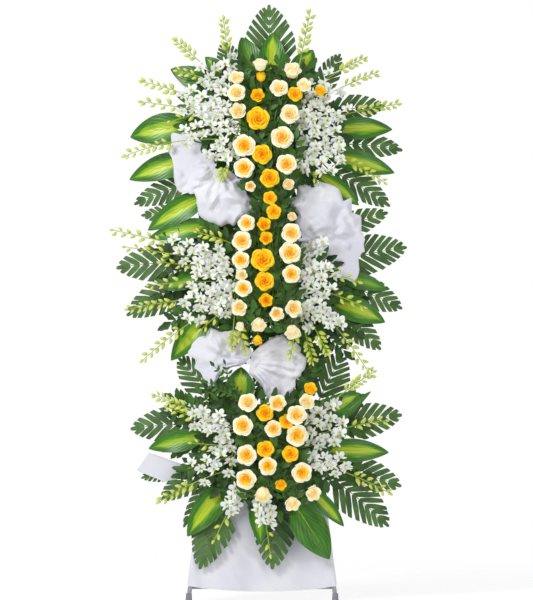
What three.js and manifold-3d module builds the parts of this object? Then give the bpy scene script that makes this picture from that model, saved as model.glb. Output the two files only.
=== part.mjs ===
// A standing funeral spray: three banks of cut flowers and leaves, pushed into foam blocks on the
// front of a leaning steel tripod, with white gathered cloth between the banks and round the legs.
// Millimetres, +Z up, and the front faces -Y.
//
// The leaning front is laid out upright, in layers one behind the other at their own y, so that
// what overlaps in the front view stays clear in depth. settle() then leans all of it back and
// sweeps its sides backwards. Places are [x, z] as seen from the front.

import * as THREE from "three";
import { mergeVertices } from "three/addons/utils/BufferGeometryUtils.js";
import Module from "manifold-3d";

const wasm = await Module();
wasm.setup();

// Driving dimensions of the stand
const FOOT_HALF_SPREAD = 233;
const LEG_SLOPE = 0.128; // each front leg comes in by this much for each mm of height
const LEG_RADIUS = 7;
const LEG_TOP = 1740;
const REAR_FOOT_Y = 560;
const FOOT_HEIGHT = 24;
const FOOT_RADIUS = 10.5;
const BAR_HEIGHT = 20;
const BAR_THICKNESS = 4;
const FIT_GAP = 0.3;

// How the upright layout is set on the stand
const LEAN = 0.12; // backwards for each mm of height
const SWEEP = 80; // how far the widest tips stand back
const SWEEP_START = 90;
const HALF_WIDTH = 470;

// Foam blocks: x from FOAM_LEFT to FOAM_RIGHT, y from FOAM_FRONT to FOAM_BACK
const FOAM_LEFT = -65;
const FOAM_RIGHT = 85;
const FOAM_FRONT = -110;
const BAR_FRONT = -(LEG_RADIUS + FIT_GAP + BAR_THICKNESS);
const BOARD_THICKNESS = 3;
const BOARD_FRONT = BAR_FRONT - FIT_GAP - BOARD_THICKNESS;
const FOAM_BACK = BOARD_FRONT - FIT_GAP;
const FOAM = { upper: [1310, 1680], middle: [885, 1165], lower: [360, 615] };
const STUB_DEPTH = 28;
const STUB_SIDES = 4;
const STUB_RADIUS = 3;
const HOLE_CLEARANCE = 0.4;

// Depth of each layer
const PALM_BACK = -22;
const PALM_MIDDLE = -28;
const PALM_FRONT = -34;
const LEAF_BACK = -45;
const LEAF_FRONT = -61;
const CLOTH_BACK = -73;
const ORCHID_Y = -98;
const ROSE_PLANES = { yellow: -122, creamTop: -118, creamLow: -114 };
const GREENS_Y = -131;
const ROSE_Y = -158;

const BLADE = 0.9; // thickness of leaves
const STACK = 1.4; // blades of one group lie this far apart in depth

const finish = (color, roughness, metalness = 0) =>
  new THREE.MeshStandardMaterial({ color, roughness, metalness });
const steel = finish(0x8a8a8e, 0.4, 0.9);
const footRubber = finish(0x2c2c2e, 0.8);
const board = finish(0x39443a, 0.6);
const foamGreen = finish(0x2f5c34, 0.95);
const cloth = finish(0xe3e4ee, 0.75);
const palmGreen = finish(0x35601f, 0.5);
const leafGreen = finish(0x4f8a1c, 0.45);
const darkGreen = finish(0x1f4a18, 0.6);
const orchidWhite = finish(0xf4f4f0, 0.6);
const creamPetal = finish(0xf6e7c4, 0.6);
const yellowPetal = finish(0xf9b21a, 0.6);

const at = (x, y, z) => new THREE.Vector3(x, y, z);
const degrees = THREE.MathUtils.degToRad;

// A repeatable draw between 0 and 1
function draws(seed) {
  let state = seed;
  return () => {
    state = (state * 1103515245 + 12345) % 2147483648;
    return state / 2147483648;
  };
}

// Solids

// A closed body from points and triangles, with its faces turned outwards
function body(points, triangles) {
  const position = new Float32Array(points.flatMap((p) => [p.x, p.y, p.z]));
  let volume = 0;
  for (const [a, b, c] of triangles)
    volume += points[a].dot(points[b].clone().cross(points[c]));
  const faces = volume < 0 ? triangles.map(([a, b, c]) => [a, c, b]) : triangles;
  const geometry = new THREE.BufferGeometry();
  geometry.setAttribute("position", new THREE.BufferAttribute(position, 3));
  geometry.setIndex(faces.flat());
  return solid(geometry);
}

function solid(geometry) {
  const bare = geometry.clone();
  bare.deleteAttribute("normal");
  bare.deleteAttribute("uv");
  const merged = mergeVertices(bare, 1e-4);
  return new wasm.Manifold(
    new wasm.Mesh({
      numProp: 3,
      vertProperties: merged.attributes.position.array,
      triVerts: new Uint32Array(merged.index.array),
    }),
  );
}

// Joins a list of solids two by two
function fused(parts) {
  if (parts.length === 1) return parts[0];
  const half = Math.ceil(parts.length / 2);
  return fused(parts.slice(0, half)).add(fused(parts.slice(half)));
}

// A skin over rings of points, which may differ in count; a ring of one point is a tip, and an
// open end gets a flat cap
function skin(rings) {
  const triangles = [];
  let start = 0;
  for (let i = 0; i + 1 < rings.length; i++) {
    const count = rings[i].length;
    const next = rings[i + 1].length;
    const here = (k) => start + (k % count);
    const there = (k) => start + count + (k % next);
    let a = 0;
    let b = 0;
    while (a < (count > 1 ? count : 0) || b < (next > 1 ? next : 0)) {
      const stepHere = next === 1 || (count > 1 && (a + 1) / count <= (b + 1) / next);
      if (stepHere) triangles.push([here(a), here(a + 1), there(b)]);
      else triangles.push([here(a), there(b + 1), there(b)]);
      if (stepHere) a++;
      else b++;
    }
    start += count;
  }
  for (let k = 1; k + 1 < rings[0].length; k++) triangles.push([0, k + 1, k]);
  for (let k = 1; k + 1 < rings.at(-1).length; k++)
    triangles.push([start, start + k, start + k + 1]);
  return body(rings.flat(), triangles);
}

// A ring round a point, square to a direction and starting at a side; every other point goes in
// and out by lobe
function ringAt(centre, direction, side, radius, count, lobe = 0) {
  const aside = side.clone().addScaledVector(direction, -side.dot(direction)).normalize();
  const other = direction.clone().cross(aside);
  return Array.from({ length: count }, (_, k) => {
    const turn = ((k + 0.5) / count) * 2 * Math.PI;
    const out = radius * (1 + (k % 2 ? -lobe : lobe));
    return centre
      .clone()
      .addScaledVector(aside, out * Math.cos(turn))
      .addScaledVector(other, out * Math.sin(turn));
  });
}

// A rod along a line of points
function rod(path, radius, sides = 3) {
  const tangents = path.map((p, i) => {
    const before = path[Math.max(i - 1, 0)];
    const after = path[Math.min(i + 1, path.length - 1)];
    return after.clone().sub(before).normalize();
  });
  const first = path[1].clone().sub(path[0]).normalize();
  let across = first.clone().cross(path.at(-1).clone().sub(path[0]));
  if (across.length() < 1e-3) across = first.clone().cross(at(0, 1, 0));
  if (across.length() < 1e-3) across = at(1, 0, 0);
  return skin(path.map((p, i) => ringAt(p, tangents[i], across, radius, sides)));
}

// A thin plate of even thickness over a sheet of triangles, along y or each point's own normal
function plate(points, triangles, thickness, normals = points.map(() => at(0, -1, 0))) {
  const count = points.length;
  const front = points.map((p, i) => p.clone().addScaledVector(normals[i], thickness / 2));
  const back = points.map((p, i) => p.clone().addScaledVector(normals[i], -thickness / 2));
  const edges = new Set();
  for (const [a, b, c] of triangles)
    for (const [s, e] of [[a, b], [b, c], [c, a]]) edges.add(s + "," + e);
  const walls = [];
  for (const edge of edges) {
    const [s, e] = edge.split(",").map(Number);
    if (edges.has(e + "," + s)) continue;
    walls.push([e, s, s + count], [e, s + count, e + count]);
  }
  const behind = triangles.map(([a, b, c]) => [a + count, c + count, b + count]);
  return body([...front, ...back], [...triangles, ...behind, ...walls]);
}

// Two triangles for each cell of a grid of points, row after row
function cells(rows, columns) {
  const triangles = [];
  for (let i = 0; i + 1 < rows; i++)
    for (let k = 0; k + 1 < columns; k++) {
      const a = i * columns + k;
      triangles.push([a, a + 1, a + 1 + columns], [a, a + 1 + columns, a + columns]);
    }
  return triangles;
}

function box(x0, x1, y0, y1, z0, z1) {
  const geometry = new THREE.BoxGeometry(x1 - x0, y1 - y0, z1 - z0);
  geometry.translate((x0 + x1) / 2, (y0 + y1) / 2, (z0 + z1) / 2);
  return solid(geometry);
}

// The finished piece: leaned back with the front, and swept at the sides where it is foliage
const spray = new THREE.Group();
const sweep = (x) => {
  const out = Math.max(0, Math.abs(x) - SWEEP_START) / (HALF_WIDTH - SWEEP_START);
  return SWEEP * out * out;
};

function settle(name, piece, material, swept = true) {
  const made = piece.getMesh();
  const position = new Float32Array(made.numVert * 3);
  for (let i = 0; i < made.numVert; i++) {
    const [x, y, z] = made.vertProperties.subarray(i * made.numProp, i * made.numProp + 3);
    position.set([x, y + LEAN * z + (swept ? sweep(x) : 0), z], i * 3);
  }
  const geometry = new THREE.BufferGeometry();
  geometry.setAttribute("position", new THREE.BufferAttribute(position, 3));
  geometry.setIndex(new THREE.BufferAttribute(made.triVerts, 1));
  const mesh = new THREE.Mesh(geometry, material);
  mesh.name = name;
  spray.add(mesh);
}

// Stand: two front legs, a rear leg, rubber feet, a cap and flat bars across the front legs

const legX = (z) => FOOT_HALF_SPREAD - LEG_SLOPE * z;
const LEG_SIDES = 8;
const LEG_START = 6.8;
const SOCKET_FLOOR = 5;
const REAR_TOP_Y = 26;
const CAP = { x: 30, front: -13, back: 40, low: LEG_TOP - 22, high: LEG_TOP + 6 };

const legLine = {
  left: (z) => at(-legX(z), 0, z),
  right: (z) => at(legX(z), 0, z),
  rear: (z) => at(0, REAR_FOOT_Y + ((REAR_TOP_Y - REAR_FOOT_Y) * z) / LEG_TOP, z),
};

const sockets = [];
for (const [side, line] of Object.entries(legLine)) {
  const leg = rod([line(LEG_START), line(LEG_TOP)], LEG_RADIUS, LEG_SIDES);
  settle("leg_" + side, leg, steel, false);
  const socket = rod(
    [line(SOCKET_FLOOR), line(LEG_TOP + 1.5)],
    LEG_RADIUS + FIT_GAP + 0.1,
    LEG_SIDES,
  );
  sockets.push(socket);
  const foot = new THREE.CylinderGeometry(FOOT_RADIUS - 1.5, FOOT_RADIUS, FOOT_HEIGHT, 12);
  foot.rotateX(Math.PI / 2);
  const under = line(FOOT_HEIGHT / 2);
  foot.translate(under.x, under.y, FOOT_HEIGHT / 2);
  settle("foot_" + side, solid(foot).subtract(socket), footRubber, false);
}
const cap = box(-CAP.x, CAP.x, CAP.front, CAP.back, CAP.low, CAP.high);
settle("stand_cap", cap.subtract(fused(sockets)), steel, false);

const WAIST_BAR_Z = 757;
const BAR_Z = { upper: 1490, middle: 1060, waist: WAIST_BAR_Z, lower: 500 };
for (const [place, z] of Object.entries(BAR_Z)) {
  const half = legX(z) + LEG_RADIUS;
  const high = z + BAR_HEIGHT / 2;
  const bar = box(-half, half, BAR_FRONT, BAR_FRONT + BAR_THICKNESS, z - BAR_HEIGHT / 2, high);
  settle("bar_" + place, bar, steel, false);
}
const HEM_BAR_Z = 41;
const HEM_BAR_RADIUS = 5;
const hemY = LEG_RADIUS + FIT_GAP + HEM_BAR_RADIUS;
const hemBar = rod(
  [at(-legX(HEM_BAR_Z), hemY, HEM_BAR_Z), at(legX(HEM_BAR_Z), hemY, HEM_BAR_Z)],
  HEM_BAR_RADIUS,
  10,
);
settle("bar_hem", hemBar, steel, false);

// Foam blocks and the boards that they are fixed to, made last because the stems set their holes

const holes = { upper: [], middle: [], lower: [] };
const LEFTWARD = at(-1, 0, 0);
const RIGHTWARD = at(1, 0, 0);
const UPWARD = at(0, 0, 1);
const DOWNWARD = at(0, 0, -1);
const FORWARD = at(0, -1, 0);

// A stub that stands in a plain hole of a foam block; returns the stub, from the block's face in
function stub(block, face, outward, radius) {
  const path = [
    face.clone().addScaledVector(outward, 3),
    face.clone().addScaledVector(outward, -STUB_DEPTH),
  ];
  const bore = [path[0], path[1].clone().addScaledVector(outward, -1)];
  holes[block].push(rod(bore, radius + HOLE_CLEARANCE, STUB_SIDES));
  return rod(path, radius, STUB_SIDES);
}

// Where a group of stems enters: a side, the top, the bottom or the front of a block
function entry(block, side, along, y) {
  const [low, high] = FOAM[block];
  const faces = {
    left: [at(FOAM_LEFT, y, along), LEFTWARD],
    right: [at(FOAM_RIGHT, y, along), RIGHTWARD],
    top: [at(along, y, high), UPWARD],
    bottom: [at(along, y, low), DOWNWARD],
  };
  const [face, outward] = faces[side];
  return { block, face, outward, hub: face.clone().addScaledVector(outward, 2.5) };
}

const flat = (x, z) => new THREE.Vector2(x, z);

const arc = (from, to, rise) =>
  new THREE.QuadraticBezierCurve(
    flat(...from),
    flat((from[0] + to[0]) / 2, (from[1] + to[1]) / 2 + rise),
    flat(...to),
  );

// Stations along a stem from its hub to the foot of its blade, and on along the blade's rib
function stationsOf(hub, base, tip, fractions) {
  const length = Math.hypot(tip[0] - base[0], tip[1] - base[1]);
  const rib = arc(base, tip, 0.05 * length);
  const first = flat(hub.x, hub.z);
  const stem = { p: first, along: rib.getPoint(0).sub(first).normalize() };
  const ribStations = fractions.map((t) => ({ p: rib.getPoint(t), along: rib.getTangent(t) }));
  return { length, stations: [stem, ...ribStations] };
}

// A comb-shaped plate: a narrow rib, with the leaflets that outlineAt gives between stations
function comb(stations, ribHalf, y, outlineAt) {
  const points = [];
  const triangles = [];
  const add = (v) => points.push(at(v.x, y, v.y)) - 1;
  const edges = stations.map(({ p, along }) => {
    const side = flat(-along.y, along.x);
    return [1, -1].map((hand) => add(p.clone().addScaledVector(side, hand * ribHalf)));
  });
  for (let i = 0; i + 1 < stations.length; i++) {
    const [left, right] = edges[i];
    const [nextLeft, nextRight] = edges[i + 1];
    triangles.push([left, right, nextRight], [left, nextRight, nextLeft]);
    [1, -1].forEach((hand, side) => {
      const root = flat(points[edges[i][side]].x, points[edges[i][side]].z);
      const outline = outlineAt(i, hand, root, stations[i].along).map(add);
      const ring = [edges[i][side], ...outline, edges[i + 1][side]];
      for (let k = 1; outline.length && k + 1 < ring.length; k++)
        triangles.push(hand > 0 ? [ring[0], ring[k + 1], ring[k]] : [ring[0], ring[k], ring[k + 1]]);
    });
  }
  return plate(points, triangles, BLADE);
}

// Palm fronds: a rib with pointed leaflets on both sides

const RIB_HALF = 2.2;
const LEAFLET_PROFILE = [0.62, 0.92, 1, 0.82, 0.6, 0.42, 0.25];
const LEAFLETS_END = 0.86;
const LEAFLET_ANGLE = 46; // of the first leaflets to the rib, which close up towards the tip
const LEAFLET_CLOSING = 18;

function frond(hub, tip, base, halfWidth, y, pairs) {
  const fractions = Array.from({ length: pairs + 1 }, (_, i) => (LEAFLETS_END * i) / pairs);
  const { length, stations } = stationsOf(hub, base, tip, [...fractions, 1]);
  return comb(stations, RIB_HALF, y, (i, hand, root, along) => {
    const pair = i - 1;
    if (pair < 0 || pair > pairs) return [];
    const profile = LEAFLET_PROFILE[Math.round((pair * 6) / pairs)];
    const angle = degrees(LEAFLET_ANGLE - (LEAFLET_CLOSING * pair) / pairs);
    const left = length * (1 - fractions[pair]);
    const reach = Math.min((halfWidth * profile) / Math.sin(angle), left / Math.cos(angle));
    const direction = along.clone().rotateAround(flat(0, 0), hand * angle);
    return [root.clone().addScaledVector(direction, reach)];
  });
}

function palmFan(name, where, fronds) {
  const parts = [stub(where.block, where.face, where.outward, STUB_RADIUS)];
  fronds.forEach(([tip, base, halfWidth, pairs], i) => {
    const y = where.face.y + STACK * (i - (fronds.length - 1) / 2);
    parts.push(frond(where.hub, tip, base, halfWidth, y, pairs));
  });
  settle(name, fused(parts), palmGreen);
}

palmFan("palm_top", entry("upper", "top", 20, PALM_MIDDLE), [
  [[22, 1901], [26, 1700], 86, 7],
  [[-128, 1780], [-66, 1690], 45, 5],
]);
palmFan("palm_upper_left", entry("upper", "left", 1335, PALM_BACK), [
  [[-412, 1257], [-250, 1318], 40, 4],
  [[-389, 1222], [-240, 1220], 34, 4],
]);
palmFan("palm_upper_right", entry("upper", "right", 1500, PALM_FRONT), [
  [[252, 1742], [185, 1620], 38, 4],
  [[396, 1575], [217, 1550], 45, 5],
  [[453, 1432], [260, 1450], 44, 5],
  [[412, 1250], [211, 1370], 50, 5],
]);
palmFan("palm_middle_left", entry("middle", "left", 1075, PALM_MIDDLE), [
  [[-293, 1195], [-110, 1130], 42, 4],
  [[-469, 1053], [-270, 1070], 62, 6],
  [[-435, 900], [-240, 1000], 60, 5],
]);
palmFan("palm_middle_right", entry("middle", "right", 1060, PALM_MIDDLE), [
  [[405, 1232], [230, 1165], 44, 4],
  [[466, 1120], [260, 1075], 64, 6],
  [[450, 922], [262, 1000], 56, 5],
  [[380, 791], [250, 905], 46, 4],
]);
palmFan("palm_lower_left", entry("lower", "left", 575, PALM_BACK), [
  [[-268, 769], [-166, 657], 58, 4],
  [[-421, 539], [-225, 556], 60, 5],
]);
palmFan("palm_lower_left_hanging", entry("lower", "left", 440, PALM_MIDDLE), [
  [[-386, 383], [-270, 412], 30, 3],
  [[-322, 316], [-180, 415], 46, 4],
  [[-249, 230], [-175, 370], 26, 4],
  [[-198, 99], [-128, 300], 68, 7],
]);
palmFan("palm_bottom", entry("lower", "bottom", 35, PALM_MIDDLE), [
  [[32, 99], [44, 300], 70, 7],
]);
palmFan("palm_lower_right", entry("lower", "right", 470, PALM_BACK), [
  [[404, 230], [226, 383], 66, 5],
  [[445, 357], [262, 412], 52, 5],
  [[448, 584], [264, 550], 58, 5],
  [[258, 782], [185, 640], 66, 6],
]);

// Broad striped leaves: a blade folded along its rib

const LEAF_STATIONS = [0, 0.18, 0.46, 0.78, 1];
const LEAF_PROFILE = [0.06, 0.74, 1, 0.66, 0.04];
const LEAF_FOLD = 0.05; // of the width, each way
const LEAF_STEM = 4;

function blade(hub, tip, base, width, y) {
  const { stations } = stationsOf(hub, base, tip, LEAF_STATIONS);
  const points = stations.flatMap(({ p, along }, i) => {
    const share = i === 0 ? LEAF_STEM / width : LEAF_PROFILE[i - 1];
    const side = flat(-along.y, along.x);
    return [1, 0, -1].map((hand) => {
      const v = p.clone().addScaledVector(side, (hand * share * width) / 2);
      const fold = LEAF_FOLD * width * share;
      return at(v.x, y + (hand === 0 ? fold : -fold), v.y);
    });
  });
  return plate(points, cells(stations.length, 3), BLADE);
}

function leafGroup(name, where, leaves) {
  const parts = [stub(where.block, where.face, where.outward, STUB_RADIUS)];
  leaves.forEach(([tip, base, width], i) => {
    const y = where.face.y + STACK * (i - (leaves.length - 1) / 2);
    parts.push(blade(where.hub, tip, base, width, y));
  });
  settle(name, fused(parts), leafGreen);
}

leafGroup("leaves_top", entry("upper", "top", 45, LEAF_BACK), [
  [[35, 1809], [30, 1690], 88],
  [[-67, 1793], [-13, 1690], 80],
  [[163, 1753], [100, 1690], 85],
]);
leafGroup("leaves_upper_left", entry("upper", "left", 1560, LEAF_FRONT), [
  [[-182, 1729], [-96, 1636], 60],
  [[-293, 1691], [-118, 1605], 85],
  [[-274, 1605], [-150, 1563], 50],
  [[-423, 1474], [-220, 1509], 105],
]);
leafGroup("leaves_upper_left_low", entry("upper", "left", 1390, LEAF_BACK), [
  [[-426, 1337], [-215, 1404], 85],
  [[-365, 1174], [-165, 1290], 80],
  [[-360, 1150], [-134, 1188], 70],
]);
leafGroup("leaves_upper_right", entry("upper", "right", 1440, LEAF_BACK), [
  [[418, 1499], [233, 1493], 75],
  [[424, 1359], [226, 1413], 75],
  [[309, 1254], [191, 1359], 60],
]);
leafGroup("leaves_middle_left", entry("middle", "left", 980, LEAF_FRONT), [
  [[-309, 983], [-180, 1030], 55],
  [[-289, 759], [-160, 919], 85],
]);
leafGroup("leaves_middle_right", entry("middle", "right", 990, LEAF_BACK), [
  [[402, 983], [240, 1030], 55],
  [[392, 880], [220, 951], 80],
]);
leafGroup("leaves_lower_left", entry("lower", "left", 505, LEAF_BACK), [
  [[-66, 738], [-74, 622], 92],
  [[-360, 479], [-182, 520], 70],
  [[-236, 204], [-100, 383], 95],
]);
leafGroup("leaves_bottom", entry("lower", "bottom", 10, LEAF_FRONT), [
  [[-3, 179], [-18, 345], 65],
  [[212, 134], [96, 313], 115],
  [[258, 236], [160, 345], 50],
]);
leafGroup("leaves_lower_right", entry("lower", "right", 535, LEAF_BACK), [
  [[402, 466], [190, 472], 78],
  [[313, 654], [180, 580], 70],
  [[346, 660], [200, 525], 30],
]);

// Roses: a cup of lobed petals round a smaller cup, on a stem that bends clear of the others

const ROSE_SECTORS = 6;
const ROSE_RINGS = [
  [0.05, 1.02, 0.09],
  [0.08, 0.68, -0.06],
  [0.5, 0.44, 0.06],
];
const ROSE_HEART = 0.3;
const ROSE_CUP = -0.68; // where the cup narrows into the stem
const ROSE_STEM = 1.7;

// A stem from the hub to its foot and on into the back of a cup of petals, all of one skin
function rose(hub, foot, centre, facing, radius) {
  const forward = (share) => centre.clone().addScaledVector(facing, share * radius);
  const cup = forward(ROSE_CUP);
  const lateral = foot.clone().sub(hub);
  const direct = lateral.length() < 5;
  const outOfHub = (direct ? cup : foot).clone().sub(hub).normalize();
  const side = direct ? at(1, 0, 0) : outOfHub.clone().cross(facing).normalize();
  const toCup = cup.clone().sub(foot).normalize();
  const bend = outOfHub.clone().add(toCup).normalize();
  const stem = direct ? [] : [ringAt(foot, bend, side, ROSE_STEM, 3)];
  const petals = ROSE_RINGS.map(([depth, out, lobe]) =>
    ringAt(forward(depth), facing, side, 0.9 * out * radius, ROSE_SECTORS, lobe),
  );
  return skin([
    ringAt(hub, outOfHub, side, ROSE_STEM, 3),
    ...stem,
    ringAt(cup, facing, side, 1.6 * ROSE_STEM, 3),
    ...petals,
    [forward(ROSE_HEART)],
  ]);
}

const placedHeads = [];
const stemRoutes = [];
const STEM_CLEAR = 6.5;
const HEAD_STEP = 6;

function distanceToSegment([px, pz], [ax, az], [bx, bz]) {
  const [ux, uz] = [bx - ax, bz - az];
  const t = ((px - ax) * ux + (pz - az) * uz) / (ux * ux + uz * uz || 1);
  const s = Math.min(1, Math.max(0, t));
  return Math.hypot(px - ax - s * ux, pz - az - s * uz);
}

// A head comes forward, a step at a time, until it is clear of the heads placed before it
function headCentre(x, z, radius) {
  let y = ROSE_Y;
  const touches = (h) =>
    Math.hypot(h.x - x, 1.2 * (h.y - y), h.z - z) < 0.98 * (h.radius + radius) + 1;
  while (placedHeads.some(touches)) y -= HEAD_STEP;
  placedHeads.push({ x, y, z, radius });
  return at(x, y, z);
}

// Where a stem bends, as near behind its head as it can be without meeting another stem
function stemFoot([x, z], plane, hub) {
  for (const reach of [0, 6, 10, 14, 18])
    for (let turn = 0; turn < 360; turn += 30) {
      const foot = [
        x + reach * Math.cos(degrees(turn)),
        z + reach * Math.sin(degrees(turn)),
      ];
      const clear = stemRoutes.every((r) => {
        if (r.hub === hub) return true;
        if (r.plane < plane) return distanceToSegment(foot, r.hub, r.foot) > STEM_CLEAR;
        if (r.plane > plane) return distanceToSegment(r.foot, hub, foot) > STEM_CLEAR;
        return true;
      });
      if (clear) return foot;
    }
  throw new Error("a rose stem finds no way at " + x + ", " + z);
}

// A stub that stands in the front of a block and comes forward to a depth
function frontStub(block, [x, z], y) {
  const long = [at(x, y, z), at(x, FOAM_FRONT + STUB_DEPTH, z)];
  const bore = [at(x, y, z), at(x, FOAM_FRONT + STUB_DEPTH + 1, z)];
  holes[block].push(rod(bore, STUB_RADIUS + HOLE_CLEARANCE, STUB_SIDES));
  return rod(long, STUB_RADIUS, STUB_SIDES);
}

function roseBunch(name, block, hub, plane, material, roses) {
  const parts = [frontStub(block, hub, plane - 1.5)];
  for (const [x, z, diameter, up, aside] of roses) {
    const centre = headCentre(x, z, diameter / 2);
    const foot = stemFoot([x, z], plane, hub);
    stemRoutes.push({ plane, hub, foot, head: [x, z] });
    const facing = at(Math.sin(degrees(aside)), -1, Math.tan(degrees(up))).normalize();
    const [from, bend] = [hub, foot].map(([a, b]) => at(a, plane, b));
    parts.push(rose(from, bend, centre, facing, diameter / 2));
  }
  settle(name, fused(parts), material);
}

// Where each bunch stands in a block's front; the stems of the others keep clear of it
const HUBS = {
  greensUpper: [30, 1480],
  greensMiddle: [38, 1052],
  greensLower: [30, 520],
  yellowUpper: [8, 1452],
  creamTop: [50, 1560],
  creamUpper: [30, 1385],
  yellowMiddle: [10, 1115],
  creamMiddle: [50, 1105],
  creamWaist: [30, 960],
  yellowLower: [48, 545],
  creamLower: [66, 600],
  creamBottom: [36, 430],
};
for (const hub of Object.values(HUBS)) stemRoutes.push({ plane: FOAM_FRONT, hub, foot: hub });

// Each rose is [x, z, diameter, degrees that it looks up, degrees that it looks aside]
roseBunch("roses_yellow_upper", "upper", HUBS.yellowUpper, ROSE_PLANES.yellow, yellowPetal, [
  [-3, 1662, 38, 55, 0],
  [105, 1605, 44, 10, 10],
  [185, 1614, 38, 25, 20],
  [-14, 1601, 46, 10, 0],
  [-13, 1526, 68, 5, 0],
  [0, 1413, 58, 0, 0],
  [24, 1337, 56, 0, 0],
]);
roseBunch("roses_cream_top", "upper", HUBS.creamTop, ROSE_PLANES.creamTop, creamPetal, [
  [-6, 1700, 50, 60, 0],
  [96, 1681, 60, 40, 10],
  [54, 1624, 54, 20, 0],
  [134, 1630, 50, 20, 15],
  [-80, 1656, 50, 30, -10],
  [-81, 1608, 54, 15, -10],
  [-77, 1550, 56, 10, -10],
  [89, 1541, 58, 5, 10],
]);
roseBunch("roses_cream_upper", "upper", HUBS.creamUpper, ROSE_PLANES.creamLow, creamPetal, [
  [64, 1466, 66, 0, 5],
  [-57, 1440, 66, 0, -5],
  [78, 1381, 60, 0, 5],
  [-57, 1368, 60, -5, -5],
  [83, 1317, 48, 0, 10],
  [-37, 1311, 36, -10, 0],
]);
roseBunch("roses_yellow_middle", "middle", HUBS.yellowMiddle, ROSE_PLANES.yellow, yellowPetal, [
  [25, 1274, 40, 5, 0],
  [37, 1230, 44, 0, 0],
  [6, 1190, 46, 10, 0],
  [13, 1146, 44, 5, 0],
  [2, 1078, 68, 5, 0],
  [8, 1010, 56, 0, 0],
  [13, 950, 46, 0, 0],
  [-14, 822, 38, -50, 0],
]);
roseBunch("roses_cream_middle", "middle", HUBS.creamMiddle, ROSE_PLANES.creamTop, creamPetal, [
  [94, 1214, 38, 5, 5],
  [-49, 1194, 50, 5, -5],
  [93, 1163, 58, 5, 5],
  [-64, 1137, 58, 0, -5],
  [89, 1100, 64, 0, 5],
  [-67, 1077, 52, 0, -5],
]);
roseBunch("roses_cream_waist", "middle", HUBS.creamWaist, ROSE_PLANES.creamLow, creamPetal, [
  [93, 1033, 54, 0, 5],
  [-64, 1030, 40, 0, -5],
  [-59, 988, 50, 0, -5],
  [-72, 927, 54, -5, -10],
  [46, 908, 48, -5, 0],
  [100, 925, 58, 0, 10],
  [-10, 872, 52, -40, 0],
  [96, 849, 54, -40, 5],
  [-70, 868, 36, -30, -10],
]);
roseBunch("roses_yellow_lower", "lower", HUBS.yellowLower, ROSE_PLANES.yellow, yellowPetal, [
  [152, 672, 44, 25, 15],
  [10, 597, 50, 10, 0],
  [78, 570, 44, 5, 0],
  [11, 483, 50, 0, 0],
  [89, 468, 48, 0, 0],
  [59, 372, 38, -20, 0],
]);
roseBunch("roses_cream_lower", "lower", HUBS.creamLower, ROSE_PLANES.creamTop, creamPetal, [
  [140, 632, 54, 15, 15],
  [-45, 630, 56, 20, -10],
  [49, 627, 58, 20, 0],
  [108, 592, 58, 10, 5],
  [-61, 557, 60, 5, -10],
  [36, 547, 50, 0, 0],
  [110, 526, 64, 0, 5],
]);
roseBunch("roses_cream_bottom", "lower", HUBS.creamBottom, ROSE_PLANES.creamLow, creamPetal, [
  [-49, 464, 60, 0, -10],
  [18, 431, 54, 0, 0],
  [126, 410, 60, -5, 10],
  [-51, 389, 60, -10, -10],
  [2, 338, 58, -50, 0],
  [160, 345, 52, -15, 15],
  [96, 313, 52, -30, 5],
]);

// Leafy green stems that fill the gaps between the roses

const SPRIG_LEAF = 39;
const SPRIG_LEAF_FOOT = 5; // length of stem that a leaf grows from
const SPRIG_RIB = 1.7;
const SPRIG_CLEAR = 5;
const LEAF_CLEAR = 12;
const roseStems = stemRoutes.map((r) => [r.foot, r.head ?? r.foot]);
const clearOfRoses = (a, b, clear) =>
  roseStems.every(
    ([foot, head]) =>
      distanceToSegment(foot, a, b) > clear &&
      distanceToSegment(head, a, b) > clear &&
      distanceToSegment([(a[0] + b[0]) / 2, (a[1] + b[1]) / 2], foot, head) > clear,
  );

function leafyStem(hub, [start, end], y, leafStep) {
  const run = flat(end[0] - start[0], end[1] - start[1]);
  const along = run.clone().normalize();
  const steps = Math.round(run.length() / leafStep);
  const path = [flat(...hub)];
  for (let i = 0; i <= steps; i++) {
    const p = flat(...start).addScaledVector(run, i / steps);
    const last = path.at(-1);
    const isFree = (shift) =>
      i === 0 || clearOfRoses([last.x, last.y], [p.x + shift, p.y], SPRIG_CLEAR);
    const shift = [0, 5, -5, 10, -10, 15, -15, 20, -20].find(isFree) ?? 0;
    path.push(p.add(flat(shift, 0)));
  }
  const outOfHub = path[1].clone().sub(path[0]).normalize();
  const leafFoot = (p) => [p, p.clone().addScaledVector(along, SPRIG_LEAF_FOOT)];
  const onStem = path.slice(1).flatMap(leafFoot);
  const stations = [{ p: path[0], along: outOfHub }, ...onStem.map((p) => ({ p, along }))];
  return comb(stations, SPRIG_RIB, y, (i, hand, root) => {
    if (i % 2 === 0) return [];
    const direction = along.clone().rotateAround(flat(0, 0), hand * degrees(58));
    const across = flat(-direction.y, direction.x);
    const place = (s, w) =>
      root.clone().addScaledVector(direction, s * SPRIG_LEAF).addScaledVector(across, w);
    const tip = place(1, 0);
    if (!clearOfRoses([root.x, root.y], [tip.x, tip.y], LEAF_CLEAR)) return [];
    return [place(0.55, hand * 10), tip, place(0.5, -hand * 9)];
  });
}

function leafyStems(name, block, hub, leafStep, lines) {
  const ends = GREENS_Y - STACK * lines.length * 0.5;
  const parts = [frontStub(block, hub, ends - 1)];
  lines.forEach((line, i) => {
    const y = GREENS_Y + STACK * (i - (lines.length - 1) / 2);
    parts.push(leafyStem(hub, line, y, leafStep));
  });
  settle(name, fused(parts), darkGreen);
}

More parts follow.
